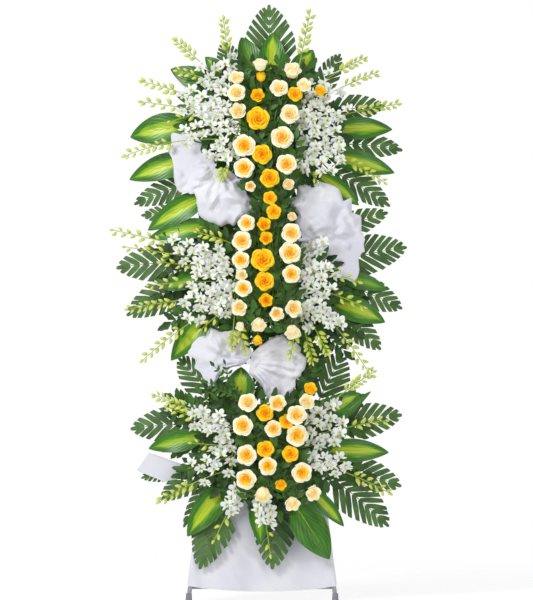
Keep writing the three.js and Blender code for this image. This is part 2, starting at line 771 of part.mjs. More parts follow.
leafyStems("greens_upper", "upper", HUBS.greensUpper, 64, [
  [[32, 1500], [40, 1690]],
  [[30, 1460], [48, 1290]],
  [[-20, 1480], [-40, 1640]],
  [[-14, 1460], [-14, 1290]],
]);
leafyStems("greens_middle", "middle", HUBS.greensMiddle, 60, [
  [[44, 1070], [52, 1240]],
  [[44, 1030], [70, 870]],
  [[-28, 1060], [-22, 1240]],
  [[-28, 1030], [-36, 850]],
]);
leafyStems("greens_lower", "lower", HUBS.greensLower, 60, [
  [[44, 530], [80, 650]],
  [[50, 500], [75, 322]],
  [[-16, 530], [-14, 668]],
  [[-16, 500], [-20, 350]],
]);

// Orchid sprays: a thin stem with open blooms on its inner part and buds towards its tip

const BLOOM_RADIUS = 29;
const BLOOM_STANDS = [7, 15]; // petals stand this far before the stem, in turn
const BUD_LENGTH = 20;
const BUD_RADIUS = 5.5;
const ORCHID_STEM = 1.7;

// Five petals round a short throat, on a stalk that starts in the stem
function bloom(stem, facing, radius, stand, side) {
  const centre = stem.clone().addScaledVector(facing, stand);
  return skin([
    ringAt(stem, facing, side, 1, 3),
    ringAt(centre, facing, side, 0.7 * radius, 10, 0.43),
    [centre.clone().addScaledVector(facing, 0.18 * radius)],
  ]);
}

function bud(base, direction, size) {
  const middle = base.clone().addScaledVector(direction, 0.5 * size * BUD_LENGTH);
  const tip = base.clone().addScaledVector(direction, size * BUD_LENGTH);
  return skin([[base], ringAt(middle, direction, FORWARD, size * BUD_RADIUS, 3), [tip]]);
}

// Each spray is [foot, tip, blooms, buds, depth of the tip, rise of its arc]
function orchidSprays(name, where, seed, sprays) {
  const draw = draws(seed);
  const parts = [stub(where.block, where.face, where.outward, STUB_RADIUS)];
  const hub = where.hub;
  for (const [foot, tip, blooms, buds, tipY = ORCHID_Y - 4, rise = 0] of sprays) {
    const run = flat(tip[0] - foot[0], tip[1] - foot[1]);
    const lift = (t) => rise * (1 - Math.abs(2 * t - 1));
    const place = (t) =>
      at(foot[0] + run.x * t, ORCHID_Y + (tipY - ORCHID_Y) * t, foot[1] + run.y * t + lift(t));
    parts.push(rod([hub, ...(rise ? [0, 0.5, 1] : [0, 1]).map(place)], ORCHID_STEM));
    const bloomsEnd = buds ? 0.5 : 1;
    for (let i = 0; i < blooms; i++) {
      const t = (blooms > 1 ? i / (blooms - 1) : 0.5) * bloomsEnd;
      const side = run.clone().normalize().rotateAround(flat(0, 0), Math.PI / 2);
      const aside = (i % 2 ? -1 : 1) * 0.3;
      const facing = at(side.x * aside, -1, side.y * aside).normalize();
      const stand = BLOOM_STANDS[i % 2];
      const radius = BLOOM_RADIUS * (0.9 + 0.2 * draw());
      const spin = 2 * Math.PI * draw();
      const petalSide = at(Math.cos(spin), 0, Math.sin(spin));
      parts.push(bloom(place(t), facing, radius, stand, petalSide));
    }
    for (let i = 0; i < buds; i++) {
      const t = buds > 1 ? 0.6 + (0.39 * i) / (buds - 1) : 0.95;
      const turn = i === buds - 1 ? 0 : (i % 2 ? -1 : 1) * degrees(48);
      const along = run.clone().normalize().rotateAround(flat(0, 0), turn);
      const direction = at(along.x, -0.15, along.y).normalize();
      parts.push(bud(place(t), direction, 1.15 - 0.45 * t));
    }
  }
  settle(name, fused(parts), orchidWhite);
}

orchidSprays("orchids_upper_left", entry("upper", "left", 1520, ORCHID_Y), 11, [
  [[-105, 1670], [-123, 1845], 1, 3],
  [[-140, 1640], [-276, 1777], 2, 2],
  [[-130, 1575], [-380, 1648], 3, 3, -112],
  [[-130, 1515], [-245, 1500], 2, 0],
  [[-125, 1455], [-434, 1413], 3, 3, -112, 30],
  [[-105, 1430], [-128, 1343], 0, 2, -114],
]);
orchidSprays("orchids_upper_right", entry("upper", "right", 1550, ORCHID_Y), 22, [
  [[115, 1690], [153, 1869], 0, 3],
  [[175, 1650], [325, 1723], 1, 2],
  [[170, 1590], [362, 1678], 2, 3],
  [[165, 1530], [431, 1577], 3, 3, -112],
  [[150, 1470], [240, 1450], 2, 0],
  [[130, 1420], [389, 1327], 2, 3, -106, 30],
]);
orchidSprays("orchids_middle_left", entry("middle", "left", 1050, ORCHID_Y), 13, [
  [[-125, 1125], [-474, 1174], 3, 3, -112],
  [[-130, 1060], [-240, 1065], 2, 0],
  [[-125, 1005], [-357, 998], 3, 1],
  [[-120, 950], [-424, 922], 2, 2, -112],
  [[-115, 890], [-376, 762], 2, 3, -112, 30],
  [[-104, 900], [-98, 801], 0, 2, -118],
]);
orchidSprays("orchids_middle_right", entry("middle", "right", 990, ORCHID_Y), 14, [
  [[140, 1095], [240, 1100], 2, 0],
  [[150, 1035], [303, 1030], 2, 1],
  [[155, 975], [322, 960], 2, 2],
  [[140, 890], [160, 759], 1, 2, -116],
  [[165, 915], [329, 734], 2, 3, -112, 30],
]);
orchidSprays("orchids_lower_left", entry("lower", "left", 540, ORCHID_Y), 15, [
  [[-130, 595], [-338, 648], 2, 2],
  [[-130, 530], [-240, 540], 2, 0],
  [[-120, 465], [-220, 440], 2, 0],
  [[-110, 405], [-319, 317], 2, 2],
]);
orchidSprays("orchids_lower_right", entry("lower", "right", 480, ORCHID_Y), 16, [
  [[190, 595], [348, 718], 1, 2],
  [[190, 530], [386, 568], 2, 2],
  [[190, 465], [280, 455], 2, 0],
  [[190, 400], [396, 343], 2, 3],
]);
orchidSprays("orchids_bottom", entry("lower", "bottom", -30, ORCHID_Y), 17, [
  [[-85, 320], [-144, 198], 2, 0],
  [[-2, 300], [24, 155], 2, 0],
]);

// White cloth: gathered puffs with pleats, raised from a flat back

const PUFF_POINTS = 21;
const PUFF_RIM = 4;

// depthAt says how far each part of the puff stands out at the front
function puffLobe(centre, outline, depthAt) {
  const curve = new THREE.CatmullRomCurve3(outline.map(([x, z]) => at(x, 0, z)), true);
  const edge = curve.getPoints(PUFF_POINTS).slice(0, -1);
  const ringOf = (share, height) =>
    edge.map((p, k) => {
      const x = centre[0] + share * (p.x - centre[0]);
      const z = centre[1] + share * (p.z - centre[1]);
      const pleat = k % 3 === 0 ? 0.8 : 1;
      return at(x, CLOTH_BACK - PUFF_RIM - height * pleat * depthAt(x, z), z);
    });
  const back = at(centre[0], CLOTH_BACK, centre[1]);
  const front = at(centre[0], CLOTH_BACK - PUFF_RIM - 0.9 * depthAt(...centre), centre[1]);
  return skin([[back], ringOf(1, 0), ringOf(0.8, 0.75), ringOf(0.4, 1), [front]]);
}

const PUFF_DEPTH = 30;
const UNDER_ORCHIDS = 7; // how far cloth stands out where orchids lie over it
const ease = (v, low, high) => THREE.MathUtils.smoothstep(v, low, high);
const fullAt = (share) => UNDER_ORCHIDS + (PUFF_DEPTH - UNDER_ORCHIDS) * share;
const depthBelow = (low, high) => (x, z) => fullAt(1 - ease(z, low, high));
const depthAbove = (low, high) => (x, z) => fullAt(ease(z, low, high));

const leftPin = entry("upper", "left", 1332, CLOTH_BACK - 10);
settle("cloth_puff_left", fused([
  stub("upper", leftPin.face, leftPin.outward, STUB_RADIUS),
  rod([leftPin.hub, at(-82, leftPin.hub.y, 1332), at(-132, CLOTH_BACK - 12, 1300)], 6, 6),
  puffLobe([-225, 1385], [
    [-271, 1485], [-300, 1455], [-296, 1413], [-286, 1372], [-271, 1308],
    [-226, 1276], [-182, 1295], [-150, 1349], [-160, 1425], [-205, 1478],
  ], depthBelow(1340, 1390)),
  puffLobe([-118, 1275], [
    [-211, 1314], [-204, 1240], [-179, 1209], [-118, 1180], [-73, 1190],
    [-35, 1208], [-20, 1232], [-36, 1266], [-86, 1308], [-116, 1350], [-165, 1365],
  ], depthBelow(1310, 1360)),
]), cloth);

const rightPin = entry("middle", "right", 1142, CLOTH_BACK - 10);
settle("cloth_puff_right", fused([
  stub("middle", rightPin.face, rightPin.outward, STUB_RADIUS),
  rod([rightPin.hub, at(150, CLOTH_BACK - 8, 1142)], 6, 6),
  puffLobe([225, 1165], [
    [78, 1268], [96, 1286], [112, 1318], [153, 1327], [220, 1308], [271, 1266],
    [300, 1222], [319, 1174], [325, 1120], [316, 1060], [290, 1000], [215, 1010],
    [153, 1056], [134, 1129], [128, 1190],
  ], depthAbove(1120, 1170)),
]), cloth);

const KNOT = [-42, WAIST_BAR_Z];
settle("cloth_bow", fused([
  rod([at(KNOT[0], BAR_FRONT - FIT_GAP, KNOT[1]), at(KNOT[0], CLOTH_BACK - 8, KNOT[1])], 9, 8),
  puffLobe([-130, 780], [
    [-239, 791], [-191, 850], [-134, 862], [-73, 848], [-35, 807], [-29, 780],
    [-48, 752], [-86, 734], [-128, 712], [-166, 668], [-198, 721],
  ], () => PUFF_DEPTH),
  puffLobe([50, 742], [
    [-40, 775], [22, 826], [70, 838], [115, 822], [130, 791], [138, 759],
    [124, 708], [96, 660], [78, 636], [16, 641], [-10, 676], [-48, 735],
  ], () => PUFF_DEPTH),
]), cloth);

// The loose tail: a flat band that comes out from beside the lower foam, behind the leaves
const TAIL_Y = -15.6;
const TAIL = [
  [[-66, 428], [-66, 470]],
  [[-160, 405], [-160, 452]],
  [[-309, 373], [-258, 431]],
  [[-399, 408], [-360, 466]],
];
settle("cloth_tail", plate(
  TAIL.flat().map(([x, z]) => at(x, TAIL_Y, z)),
  cells(TAIL.length, 2),
  1,
), cloth);

// The skirt: cloth hung round both front legs, with its side edges turned in behind them
const SKIRT_ROWS = [[345, 0], [230, 1], [130, 2], [46, 4]]; // height, and how far it bellies out
const SKIRT_INNER = LEG_RADIUS + 2.6;
const HEM_SAG = 14;
const HEM_CLEAR = 8; // how much the turned-in edges stop short of the hem, over the bar
const SKIRT_THICKNESS = 1.2;
const turned = (angle) => [Math.cos(degrees(angle)), Math.sin(degrees(angle))];
const skirtPoints = [];
const skirtNormals = [];
SKIRT_ROWS.forEach(([height, belly], row) => {
  const atHem = row === SKIRT_ROWS.length - 1;
  const wrap = [75, 140, 205, 270];
  const half = wrap.map((angle) => {
    const [c, s] = turned(angle);
    const lift = atHem && s > -0.5 ? HEM_CLEAR : 0;
    const z = height + lift;
    return { p: at(-legX(z) + SKIRT_INNER * c, SKIRT_INNER * s, z), n: at(c, s, 0) };
  });
  const middle = [-0.4, 0, 0.4].map((share) => {
    const drop = atHem ? HEM_SAG * (1 - share * share * 2) : 0;
    const out = belly * (1 - share * share * 3);
    return { p: at(share * legX(height), -SKIRT_INNER - out, height - drop), n: at(0, -1, 0) };
  });
  const other = half.map(({ p, n }) => ({ p: at(-p.x, p.y, p.z), n: at(-n.x, n.y, n.z) }));
  for (const { p, n } of [...half, ...middle, ...other.reverse()]) {
    skirtPoints.push(p);
    skirtNormals.push(n);
  }
});
const skirtColumns = skirtPoints.length / SKIRT_ROWS.length;
const skirtFaces = cells(SKIRT_ROWS.length, skirtColumns);
settle("cloth_skirt", plate(skirtPoints, skirtFaces, SKIRT_THICKNESS, skirtNormals), cloth, false);

// Foam blocks with the holes that the stems stand in, each on its board
const BOARD_MARGIN = 5;
for (const [place, [low, high]] of Object.entries(FOAM)) {
  const block = box(FOAM_LEFT, FOAM_RIGHT, FOAM_FRONT, FOAM_BACK, low, high);
  settle("foam_" + place, block.subtract(fused(holes[place])), foamGreen, false);
  const [left, right] = [FOAM_LEFT - BOARD_MARGIN, FOAM_RIGHT + BOARD_MARGIN];
  const [bottom, top] = [low - BOARD_MARGIN, high + BOARD_MARGIN];
  const backing = box(left, right, BOARD_FRONT, BOARD_FRONT + BOARD_THICKNESS, bottom, top);
  settle("board_" + place, backing, board, false);
}

// The origin is at the middle of the bounding box, at the foot
const bounds = new THREE.Box3().setFromObject(spray);
const middle = bounds.getCenter(new THREE.Vector3());
spray.position.set(-middle.x, -middle.y, -bounds.min.z);

export default spray;
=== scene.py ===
# %% [markdown]
# # A standing funeral spray
# Three banks of roses, orchids, palm and striped leaves stand in blocks of wet foam on the front
# of a leaning tripod, with gathered white cloth between them and a cloth skirt round the legs.
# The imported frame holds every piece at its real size. This lesson dresses it: each bunch, fan,
# spray and cloth of the frame gets a finer piece in the same place.

import math
import random

import bpy
import numpy as np
from mathutils import Matrix, Vector, noise


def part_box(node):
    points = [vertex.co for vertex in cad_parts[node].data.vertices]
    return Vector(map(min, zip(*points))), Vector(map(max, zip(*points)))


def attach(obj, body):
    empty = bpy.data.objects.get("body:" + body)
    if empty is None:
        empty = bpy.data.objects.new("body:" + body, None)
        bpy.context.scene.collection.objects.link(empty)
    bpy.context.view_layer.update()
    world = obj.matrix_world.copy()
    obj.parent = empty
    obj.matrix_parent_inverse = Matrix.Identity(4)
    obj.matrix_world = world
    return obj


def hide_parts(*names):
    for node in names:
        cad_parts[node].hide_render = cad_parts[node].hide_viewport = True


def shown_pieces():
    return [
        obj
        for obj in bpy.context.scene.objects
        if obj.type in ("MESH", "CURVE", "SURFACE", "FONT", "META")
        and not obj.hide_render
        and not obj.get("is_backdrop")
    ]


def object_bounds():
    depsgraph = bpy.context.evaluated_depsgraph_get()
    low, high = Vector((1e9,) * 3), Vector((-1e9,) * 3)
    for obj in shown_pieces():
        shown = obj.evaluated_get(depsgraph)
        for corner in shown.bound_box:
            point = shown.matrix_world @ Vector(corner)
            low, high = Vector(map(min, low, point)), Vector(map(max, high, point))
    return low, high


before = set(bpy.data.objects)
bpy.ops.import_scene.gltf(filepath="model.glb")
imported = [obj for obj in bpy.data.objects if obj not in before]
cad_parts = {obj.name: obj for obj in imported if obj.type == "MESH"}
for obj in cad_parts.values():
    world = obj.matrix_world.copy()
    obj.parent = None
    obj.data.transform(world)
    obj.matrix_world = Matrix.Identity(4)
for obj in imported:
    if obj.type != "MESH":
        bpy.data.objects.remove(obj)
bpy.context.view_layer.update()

# %% [markdown]
# ## The upright layout
# The front of the spray leans back with its stand, and its sides sweep backwards. Each flower
# could be placed and tilted in space, but it is much easier to place flowers on an upright wall.
# So every piece is first laid out in millimetres on a wall whose places read as [x, z] from the
# front, in layers at their own depth y. settle() then leans and sweeps the points of a piece and
# brings them to the frame, in metres.

# %% Lean, sweep and origin
MM = 0.001
LEAN = 0.12
SWEEP = 80
SWEEP_START = 90
HALF_WIDTH = 470
LEG_RADIUS = 7
BAR_FRONT = -11.3
bar_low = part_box("bar_upper")[0] / MM
MIDDLE_X = (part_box("leg_left")[0].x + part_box("leg_right")[1].x) / 2 / MM
FRONT_Y = bar_low.y - BAR_FRONT - LEAN * bar_low.z
print("layout origin at", round(MIDDLE_X, 2), round(FRONT_Y, 2))

# %% Reading and writing the points of a piece


def points_of(piece):
    flat = np.empty(3 * len(piece.data.vertices), np.float32)
    piece.data.vertices.foreach_get("co", flat)
    return flat.reshape(-1, 3).astype(float)


def put_points(piece, points):
    piece.data.vertices.foreach_set("co", np.asarray(points, np.float32).ravel())
    piece.data.update()


def settle(piece, swept=True):
    points = points_of(piece)
    points[:, 1] += LEAN * points[:, 2]
    if swept:
        out = (abs(points[:, 0]) - SWEEP_START) / (HALF_WIDTH - SWEEP_START)
        points[:, 1] += SWEEP * np.clip(out, 0, None) ** 2
    put_points(piece, (points + (MIDDLE_X, FRONT_Y, 0)) * MM)
    return piece


# %% Selecting, naming, finishing and joining


def only(*pieces):
    bpy.ops.object.select_all(action="DESELECT")
    for piece in pieces:
        piece.select_set(True)
    bpy.context.view_layer.objects.active = pieces[0]


def named(name):
    piece = bpy.context.active_object
    piece.name = name
    piece.data.name = name
    return piece


def finished(piece, kind, **values):
    only(piece)
    modifier = piece.modifiers.new(kind.title(), kind)
    for key, value in values.items():
        setattr(modifier, key, value)
    bpy.ops.object.modifier_apply(modifier=modifier.name)
    return piece


def joined(name, pieces):
    only(*pieces)
    if len(pieces) > 1:
        bpy.ops.object.join()
    return named(name)


def outward(piece):
    only(piece)
    bpy.ops.object.mode_set(mode="EDIT")
    bpy.ops.mesh.select_all(action="SELECT")
    bpy.ops.mesh.normals_make_consistent(inside=False)
    bpy.ops.object.mode_set(mode="OBJECT")
    return piece


def stands_for(piece, slot, *nodes, angle=50):
    only(piece)
    bpy.ops.object.shade_smooth_by_angle(angle=math.radians(angle))
    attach(piece, "root")
    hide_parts(*nodes)
    print(piece.name, len(piece.data.polygons), "faces")
    return piece


# %% [markdown]
# ## Copies
# The real spray repeats a few shapes hundreds of times. They could be scattered as instances,
# but a kept part needs real meshes, so a petal, a bloom, a bud or a small leaf is modelled once
# and each copy gets its own mesh, turned and placed by a matrix. `tone` is a colour attribute
# that the materials read: for a petal it holds how far out the petal lies, how far along it
# a point is, and how warm the flower is.

# %% Placing copies


def copy_at(template, matrix, materials=()):
    mesh = template.data.copy()
    mesh.transform(matrix)
    for index, material in enumerate(materials):
        mesh.materials[index] = material
    piece = bpy.data.objects.new(template.name, mesh)
    bpy.context.collection.objects.link(piece)
    return piece


def set_tone(piece, tones):
    attribute = piece.data.attributes.get("tone")
    if attribute is None:
        attribute = piece.data.attributes.new("tone", "FLOAT_COLOR", "POINT")
    attribute.data.foreach_set("color", np.asarray(tones, np.float32).ravel())


def tint(piece, channel, value):
    attribute = piece.data.attributes["tone"]
    tones = np.empty(4 * len(piece.data.vertices), np.float32)
    attribute.data.foreach_get("color", tones)
    tones[channel::4] = value
    attribute.data.foreach_set("color", tones)
    return piece


def facing_matrix(place, facing, spin, size):
    turn = facing.to_track_quat("Z", "Y").to_matrix().to_4x4()
    return (
        Matrix.Translation(place)
        @ turn
        @ Matrix.Rotation(spin, 4, "Z")
        @ Matrix.Scale(size, 4)
    )


def leaf_matrix(place, along, normal, size):
    along = along.normalized()
    across = along.cross(normal).normalized()
    matrix = Matrix((across, along, across.cross(along))).transposed().to_4x4()
    return Matrix.Translation(place) @ matrix @ Matrix.Scale(size, 4)


# %% [markdown]
# ## Stems
# Every flower and leaf stands on a thin stalk that tapers. A stalk could be a bent cylinder, but
# a poly curve with a round bevel follows any line. All the stems of a piece are splines of one
# curve, which is then converted to a mesh: quick to make, and each keeps its own taper.

# %% A curve of many stems


def stems(name, lines, material, sides=1):
    curve = bpy.data.curves.new(name, "CURVE")
    curve.dimensions = "3D"
    curve.bevel_depth = 1
    curve.bevel_resolution = sides
    curve.use_fill_caps = True
    for points, radii in lines:
        spline = curve.splines.new("POLY")
        spline.points.add(len(points) - 1)
        for point, place, radius in zip(spline.points, points, radii):
            point.co = (*place, 1)
            point.radius = radius
    piece = bpy.data.objects.new(name, curve)
    bpy.context.collection.objects.link(piece)
    only(piece)
    bpy.ops.object.convert(target="MESH")
    piece = outward(bpy.context.active_object)
    piece.data.materials.clear()
    piece.data.materials.append(material)
    set_tone(piece, np.tile((0.5, 0.5, 0.5, 1), (len(piece.data.vertices), 1)))
    return piece


# %% [markdown]
# ## Effects that the finishes share
# Petals, cloth, foam and paint all have a fine grain, and every leaf has parallel veins. Both
# could be wired up again in each material, but as node groups they are built once and get their
# own values in each. Grain gives a fine noise and the bump that goes with it. Ribs gives the
# veins from the piece's own UV map, u across and v along.

# %% Node helpers


def colour(text):
    values = [int(text[i : i + 2], 16) / 255 for i in (1, 3, 5)]
    linear = [v / 12.92 if v <= 0.04045 else ((v + 0.055) / 1.055) ** 2.4 for v in values]
    return (*linear, 1)


def node(tree, kind, sockets=None, **settings):
    made = tree.nodes.new(kind)
    for key, value in settings.items():
        setattr(made, key, value)
    for key, value in (sockets or {}).items():
        if isinstance(value, bpy.types.NodeSocket):
            tree.links.new(value, made.inputs[key])
        else:
            made.inputs[key].default_value = value
    return made


def maths(tree, operation, first, second=0.0):
    return node(tree, "ShaderNodeMath", {0: first, 1: second}, operation=operation).outputs[0]


def times(tree, first, second):
    return maths(tree, "MULTIPLY", first, second)


def inverse(tree, value):
    return maths(tree, "SUBTRACT", 1.0, value)


def mixed(tree, share, first, second):
    return node(
        tree, "ShaderNodeMix", {0: share, 6: first, 7: second}, data_type="RGBA"
    ).outputs[2]


def eased(tree, value, low, high):
    return node(
        tree,
        "ShaderNodeMapRange",
        {"Value": value, "From Min": low, "From Max": high},
        interpolation_type="SMOOTHSTEP",
    ).outputs[0]


def new_group(name, inputs, outputs):
    tree = bpy.data.node_groups.new(name, "ShaderNodeTree")
    for label, value in inputs.items():
        socket = tree.interface.new_socket(label, in_out="INPUT", socket_type="NodeSocketFloat")
        socket.default_value = value
    for label, kind in outputs.items():
        tree.interface.new_socket(label, in_out="OUTPUT", socket_type="NodeSocket" + kind)
    return tree, tree.nodes.new("NodeGroupInput").outputs, tree.nodes.new("NodeGroupOutput").inputs


# %% The grain and rib groups
grain, grain_in, grain_out = new_group(
    "Grain", {"Scale": 200.0, "Strength": 0.2}, {"Value": "Float", "Normal": "Vector"}
)
grain_place = node(grain, "ShaderNodeTexCoord").outputs["Object"]
grain_noise = node(
    grain, "ShaderNodeTexNoise", {"Vector": grain_place, "Scale": grain_in["Scale"], "Detail": 3.0}
).outputs["Fac"]
grain_bump = node(
    grain,
    "ShaderNodeBump",
    {"Strength": grain_in["Strength"], "Distance": 0.001, "Height": grain_noise},
).outputs["Normal"]
grain.links.new(grain_noise, grain_out["Value"])
grain.links.new(grain_bump, grain_out["Normal"])

ribs, ribs_in, ribs_out = new_group(
    "Ribs",
    {"Count": 14.0, "Slant": 0.0, "Strength": 0.3},
    {"Across": "Float", "Along": "Float", "Rib": "Float", "Normal": "Vector"},
)
rib_uv = node(
    ribs, "ShaderNodeSeparateXYZ", {"Vector": node(ribs, "ShaderNodeTexCoord").outputs["UV"]}
).outputs
rib_offset = maths(ribs, "SUBTRACT", times(ribs, rib_uv["X"], 2.0), 1.0)
rib_side = maths(ribs, "ABSOLUTE", rib_offset)
rib_slanted = maths(ribs, "SUBTRACT", rib_side, times(ribs, rib_uv["Y"], ribs_in["Slant"]))
rib_phase = times(ribs, rib_slanted, times(ribs, ribs_in["Count"], math.pi))
rib_wave = times(ribs, maths(ribs, "ADD", maths(ribs, "SINE", rib_phase), 1.0), 0.5)
rib_bump = node(
    ribs,
    "ShaderNodeBump",
    {"Strength": ribs_in["Strength"], "Distance": 0.0008, "Height": rib_wave},
).outputs["Normal"]
ribs.links.new(rib_side, ribs_out["Across"])
ribs.links.new(rib_uv["Y"], ribs_out["Along"])
ribs.links.new(rib_wave, ribs_out["Rib"])
ribs.links.new(rib_bump, ribs_out["Normal"])
print("groups", [g.name for g in bpy.data.node_groups])

# %% Starting a material


def new_material(name, roughness, **sockets):
    made = bpy.data.materials.new(name)
    made.use_nodes = True
    tree = made.node_tree
    shader = tree.nodes["Principled BSDF"]
    shader.inputs["Roughness"].default_value = roughness
    for key, value in sockets.items():
        shader.inputs[key.replace("_", " ")].default_value = value
    print("material", name)
    return made, tree, shader


def feed(tree, shader, base, normal):
    tree.links.new(base, shader.inputs["Base Color"])
    tree.links.new(normal, shader.inputs["Normal"])


def use_group(tree, group, **values):
    made = node(tree, "ShaderNodeGroup", node_tree=group)
    for key, value in values.items():
        made.inputs[key].default_value = value
    return made.outputs


def tone_of(tree):
    attribute = node(tree, "ShaderNodeAttribute", attribute_name="tone")
    return node(tree, "ShaderNodeSeparateColor", {"Color": attribute.outputs["Color"]}).outputs


# %% [markdown]
# ## Leaf finishes
# Palm leaflets are a dull dark green with fine veins along them. The broad leaves have a dark
# margin and a yellow-green stripe with a ragged edge. A pattern on Object coordinates would cut
# straight across a bent leaf, so the stripe is worked out from the leaf's UV map: distance from
# the rib, made uneven by a noise stretched along the blade.

# %% Palm leaflets
palm_green, tree, shader = new_material("palm_green", 0.46, Specular_IOR_Level=0.45)
veins = use_group(tree, ribs, Count=7.0, Strength=0.5)
speck = use_group(tree, grain, Scale=26.0, Strength=0.1)
tone = tone_of(tree)
patches = eased(tree, speck["Value"], 0.35, 0.7)
palm_base = mixed(tree, patches, colour("#1f4417"), colour("#43722f"))
palm_tone = mixed(tree, times(tree, tone["Blue"], 0.5), palm_base, colour("#66913f"))
palm_rib = mixed(tree, times(tree, veins["Rib"], 0.22), palm_tone, colour("#8fb56a"))
feed(tree, shader, palm_rib, veins["Normal"])

# %% Striped leaves
striped_green, tree, shader = new_material("striped_green", 0.34, Specular_IOR_Level=0.5)
veins = use_group(tree, ribs, Count=9.0, Slant=1.6, Strength=0.35)
tone = tone_of(tree)
uv = node(tree, "ShaderNodeTexCoord").outputs["UV"]
blade = node(tree, "ShaderNodeMapping", {"Vector": uv, "Scale": (7.0, 2.2, 1.0)}).outputs[0]
streaks = node(
    tree,
    "ShaderNodeTexNoise",
    {"Vector": blade, "Scale": 1.6, "Detail": 4.0, "W": tone["Green"]},
    noise_dimensions="4D",
).outputs["Fac"]
uneven = times(tree, maths(tree, "SUBTRACT", streaks, 0.5), 0.9)
ragged = maths(tree, "ADD", veins["Across"], uneven)
near_tip = eased(tree, veins["Along"], 0.72, 1.0)
reach = maths(tree, "ADD", ragged, times(tree, near_tip, 0.5))
stripe = times(tree, inverse(tree, eased(tree, reach, 0.0, 0.68)), tone["Red"])
margin = mixed(tree, eased(tree, streaks, 0.3, 0.7), colour("#21560c"), colour("#3d8712"))
halfway = mixed(tree, eased(tree, stripe, 0.0, 0.45), margin, colour("#6fae14"))
leaf_colour = mixed(tree, eased(tree, stripe, 0.3, 0.95), halfway, colour("#c4da1e"))
ribbed = mixed(tree, times(tree, veins["Rib"], 0.16), leaf_colour, colour("#7fae3a"))
feed(tree, shader, ribbed, veins["Normal"])

# %% Small dark leaves and green stalks
filler_green, tree, shader = new_material("filler_green", 0.42, Specular_IOR_Level=0.45)
veins = use_group(tree, ribs, Count=5.0, Slant=1.2, Strength=0.4)
tone = tone_of(tree)
filler = mixed(tree, tone["Red"], colour("#15310a"), colour("#447620"))
filler = mixed(tree, times(tree, veins["Rib"], 0.15), filler, colour("#6a9a3c"))
feed(tree, shader, filler, veins["Normal"])

stalk_green, tree, shader = new_material("stalk_green", 0.5)
speck = use_group(tree, grain, Scale=90.0, Strength=0.15)
stalk = mixed(tree, speck["Value"], colour("#3f7424"), colour("#78a443"))
feed(tree, shader, stalk, speck["Normal"])

# %% [markdown]
# ## Petal finishes
# Cream roses have almost white rims and a golden heart. The foot of every petal, where it dives
# between its neighbours, is painted deeper in colour as painted shade, orange in a warm heart. One
# colour for each petal would look like paper, so the colours run on `tone`: red grows outwards from
# the heart, green grows from a petal's foot to its rim, and blue says how warm this flower is. A
# little light passes through the petals, and a faint painted glow of their own colour lifts their
# shade and stands for the light that real petals pass on to each other.

# %% Rose petals


def rose_material(name, rim, flesh, heart, depth, hollow_shade):
    # Painted glow: the petals glow faintly in their own colour, which lifts their shade.
    made, tree, shader = new_material(
        name, 0.5, Subsurface_Weight=0.25, Subsurface_Scale=0.003, Emission_Strength=0.13
    )
    shader.inputs["Subsurface Radius"].default_value = (1.0, 0.9, 0.55)
    speck = use_group(tree, grain, Scale=140.0, Strength=0.12)
    tone = tone_of(tree)
    inner = inverse(tree, eased(tree, tone["Red"], 0.35, 0.85))
    warm = times(tree, inner, maths(tree, "POWER", tone["Blue"], 0.6))
    # Painted shade mask: 1 at the foot of each petal, where it dives between its neighbours, 0
    # towards its rim.
    foot = inverse(tree, eased(tree, tone["Green"], 0.3, 0.9))
    petal = mixed(tree, times(tree, speck["Value"], 0.6), rim, flesh)
    warmed = mixed(tree, warm, petal, heart)
    # Painted shade: the petal's foot takes the depth colour, and the deeper hollow colour in a warm
    # heart.
    foot_shade = mixed(tree, warm, depth, hollow_shade)
    shaded = mixed(tree, times(tree, foot, 0.9), warmed, foot_shade)
    feed(tree, shader, shaded, speck["Normal"])
    # The painted glow takes the same colour, painted shade included.
    tree.links.new(shaded, shader.inputs["Emission Color"])
    return made


# The last two colours of each rose are painted shade at the feet of its petals.
cream_petal = rose_material(
    "cream_petal", colour("#fffdf0"), colour("#fffbe0"),
    colour("#ffe142"), colour("#fff0a8"), colour("#ffba14"),
)
yellow_petal = rose_material(
    "yellow_petal", colour("#ffe22c"), colour("#ffd81a"),
    colour("#ffd010"), colour("#ffb60a"), colour("#f69206"),
)

# %% Orchid petals, buds and stalks
orchid_white, tree, shader = new_material(
    "orchid_white", 0.5, Subsurface_Weight=0.15, Subsurface_Scale=0.004
)
speck = use_group(tree, grain, Scale=160.0, Strength=0.1)
tone = tone_of(tree)
throat = inverse(tree, eased(tree, tone["Red"], 0.05, 0.42))
shade = mixed(tree, times(tree, speck["Value"], 0.25), colour("#fdfdfb"), colour("#eef0e4"))
bloom_colour = mixed(tree, times(tree, throat, 0.8), shade, colour("#b9cc4a"))
feed(tree, shader, bloom_colour, speck["Normal"])

bud_green, tree, shader = new_material("bud_green", 0.45)
speck = use_group(tree, grain, Scale=120.0, Strength=0.1)
tone = tone_of(tree)
bud_colour = mixed(tree, tone["Green"], colour("#a6c42a"), colour("#e9f08e"))
bud_colour = mixed(tree, times(tree, tone["Blue"], 0.6), bud_colour, colour("#dbe03a"))
feed(tree, shader, bud_colour, speck["Normal"])

spray_stalk, tree, shader = new_material("spray_stalk", 0.5)
speck = use_group(tree, grain, Scale=80.0, Strength=0.1)
stalk = mixed(tree, speck["Value"], colour("#8fae35"), colour("#b9cc5c"))
tree.links.new(stalk, shader.inputs["Base Color"])

# %% [markdown]
# ## Cloth, foam and metal
# The cloth is a soft white non-woven with a faint violet tint. A woven pattern would be wrong on
# it, so its fibres show only as a fine bump and faint clouds. The foam is a dark crumbly green,
# and the stand is grey satin metal with faint streaks along its tubes, which a noise stretched
# upwards gives.

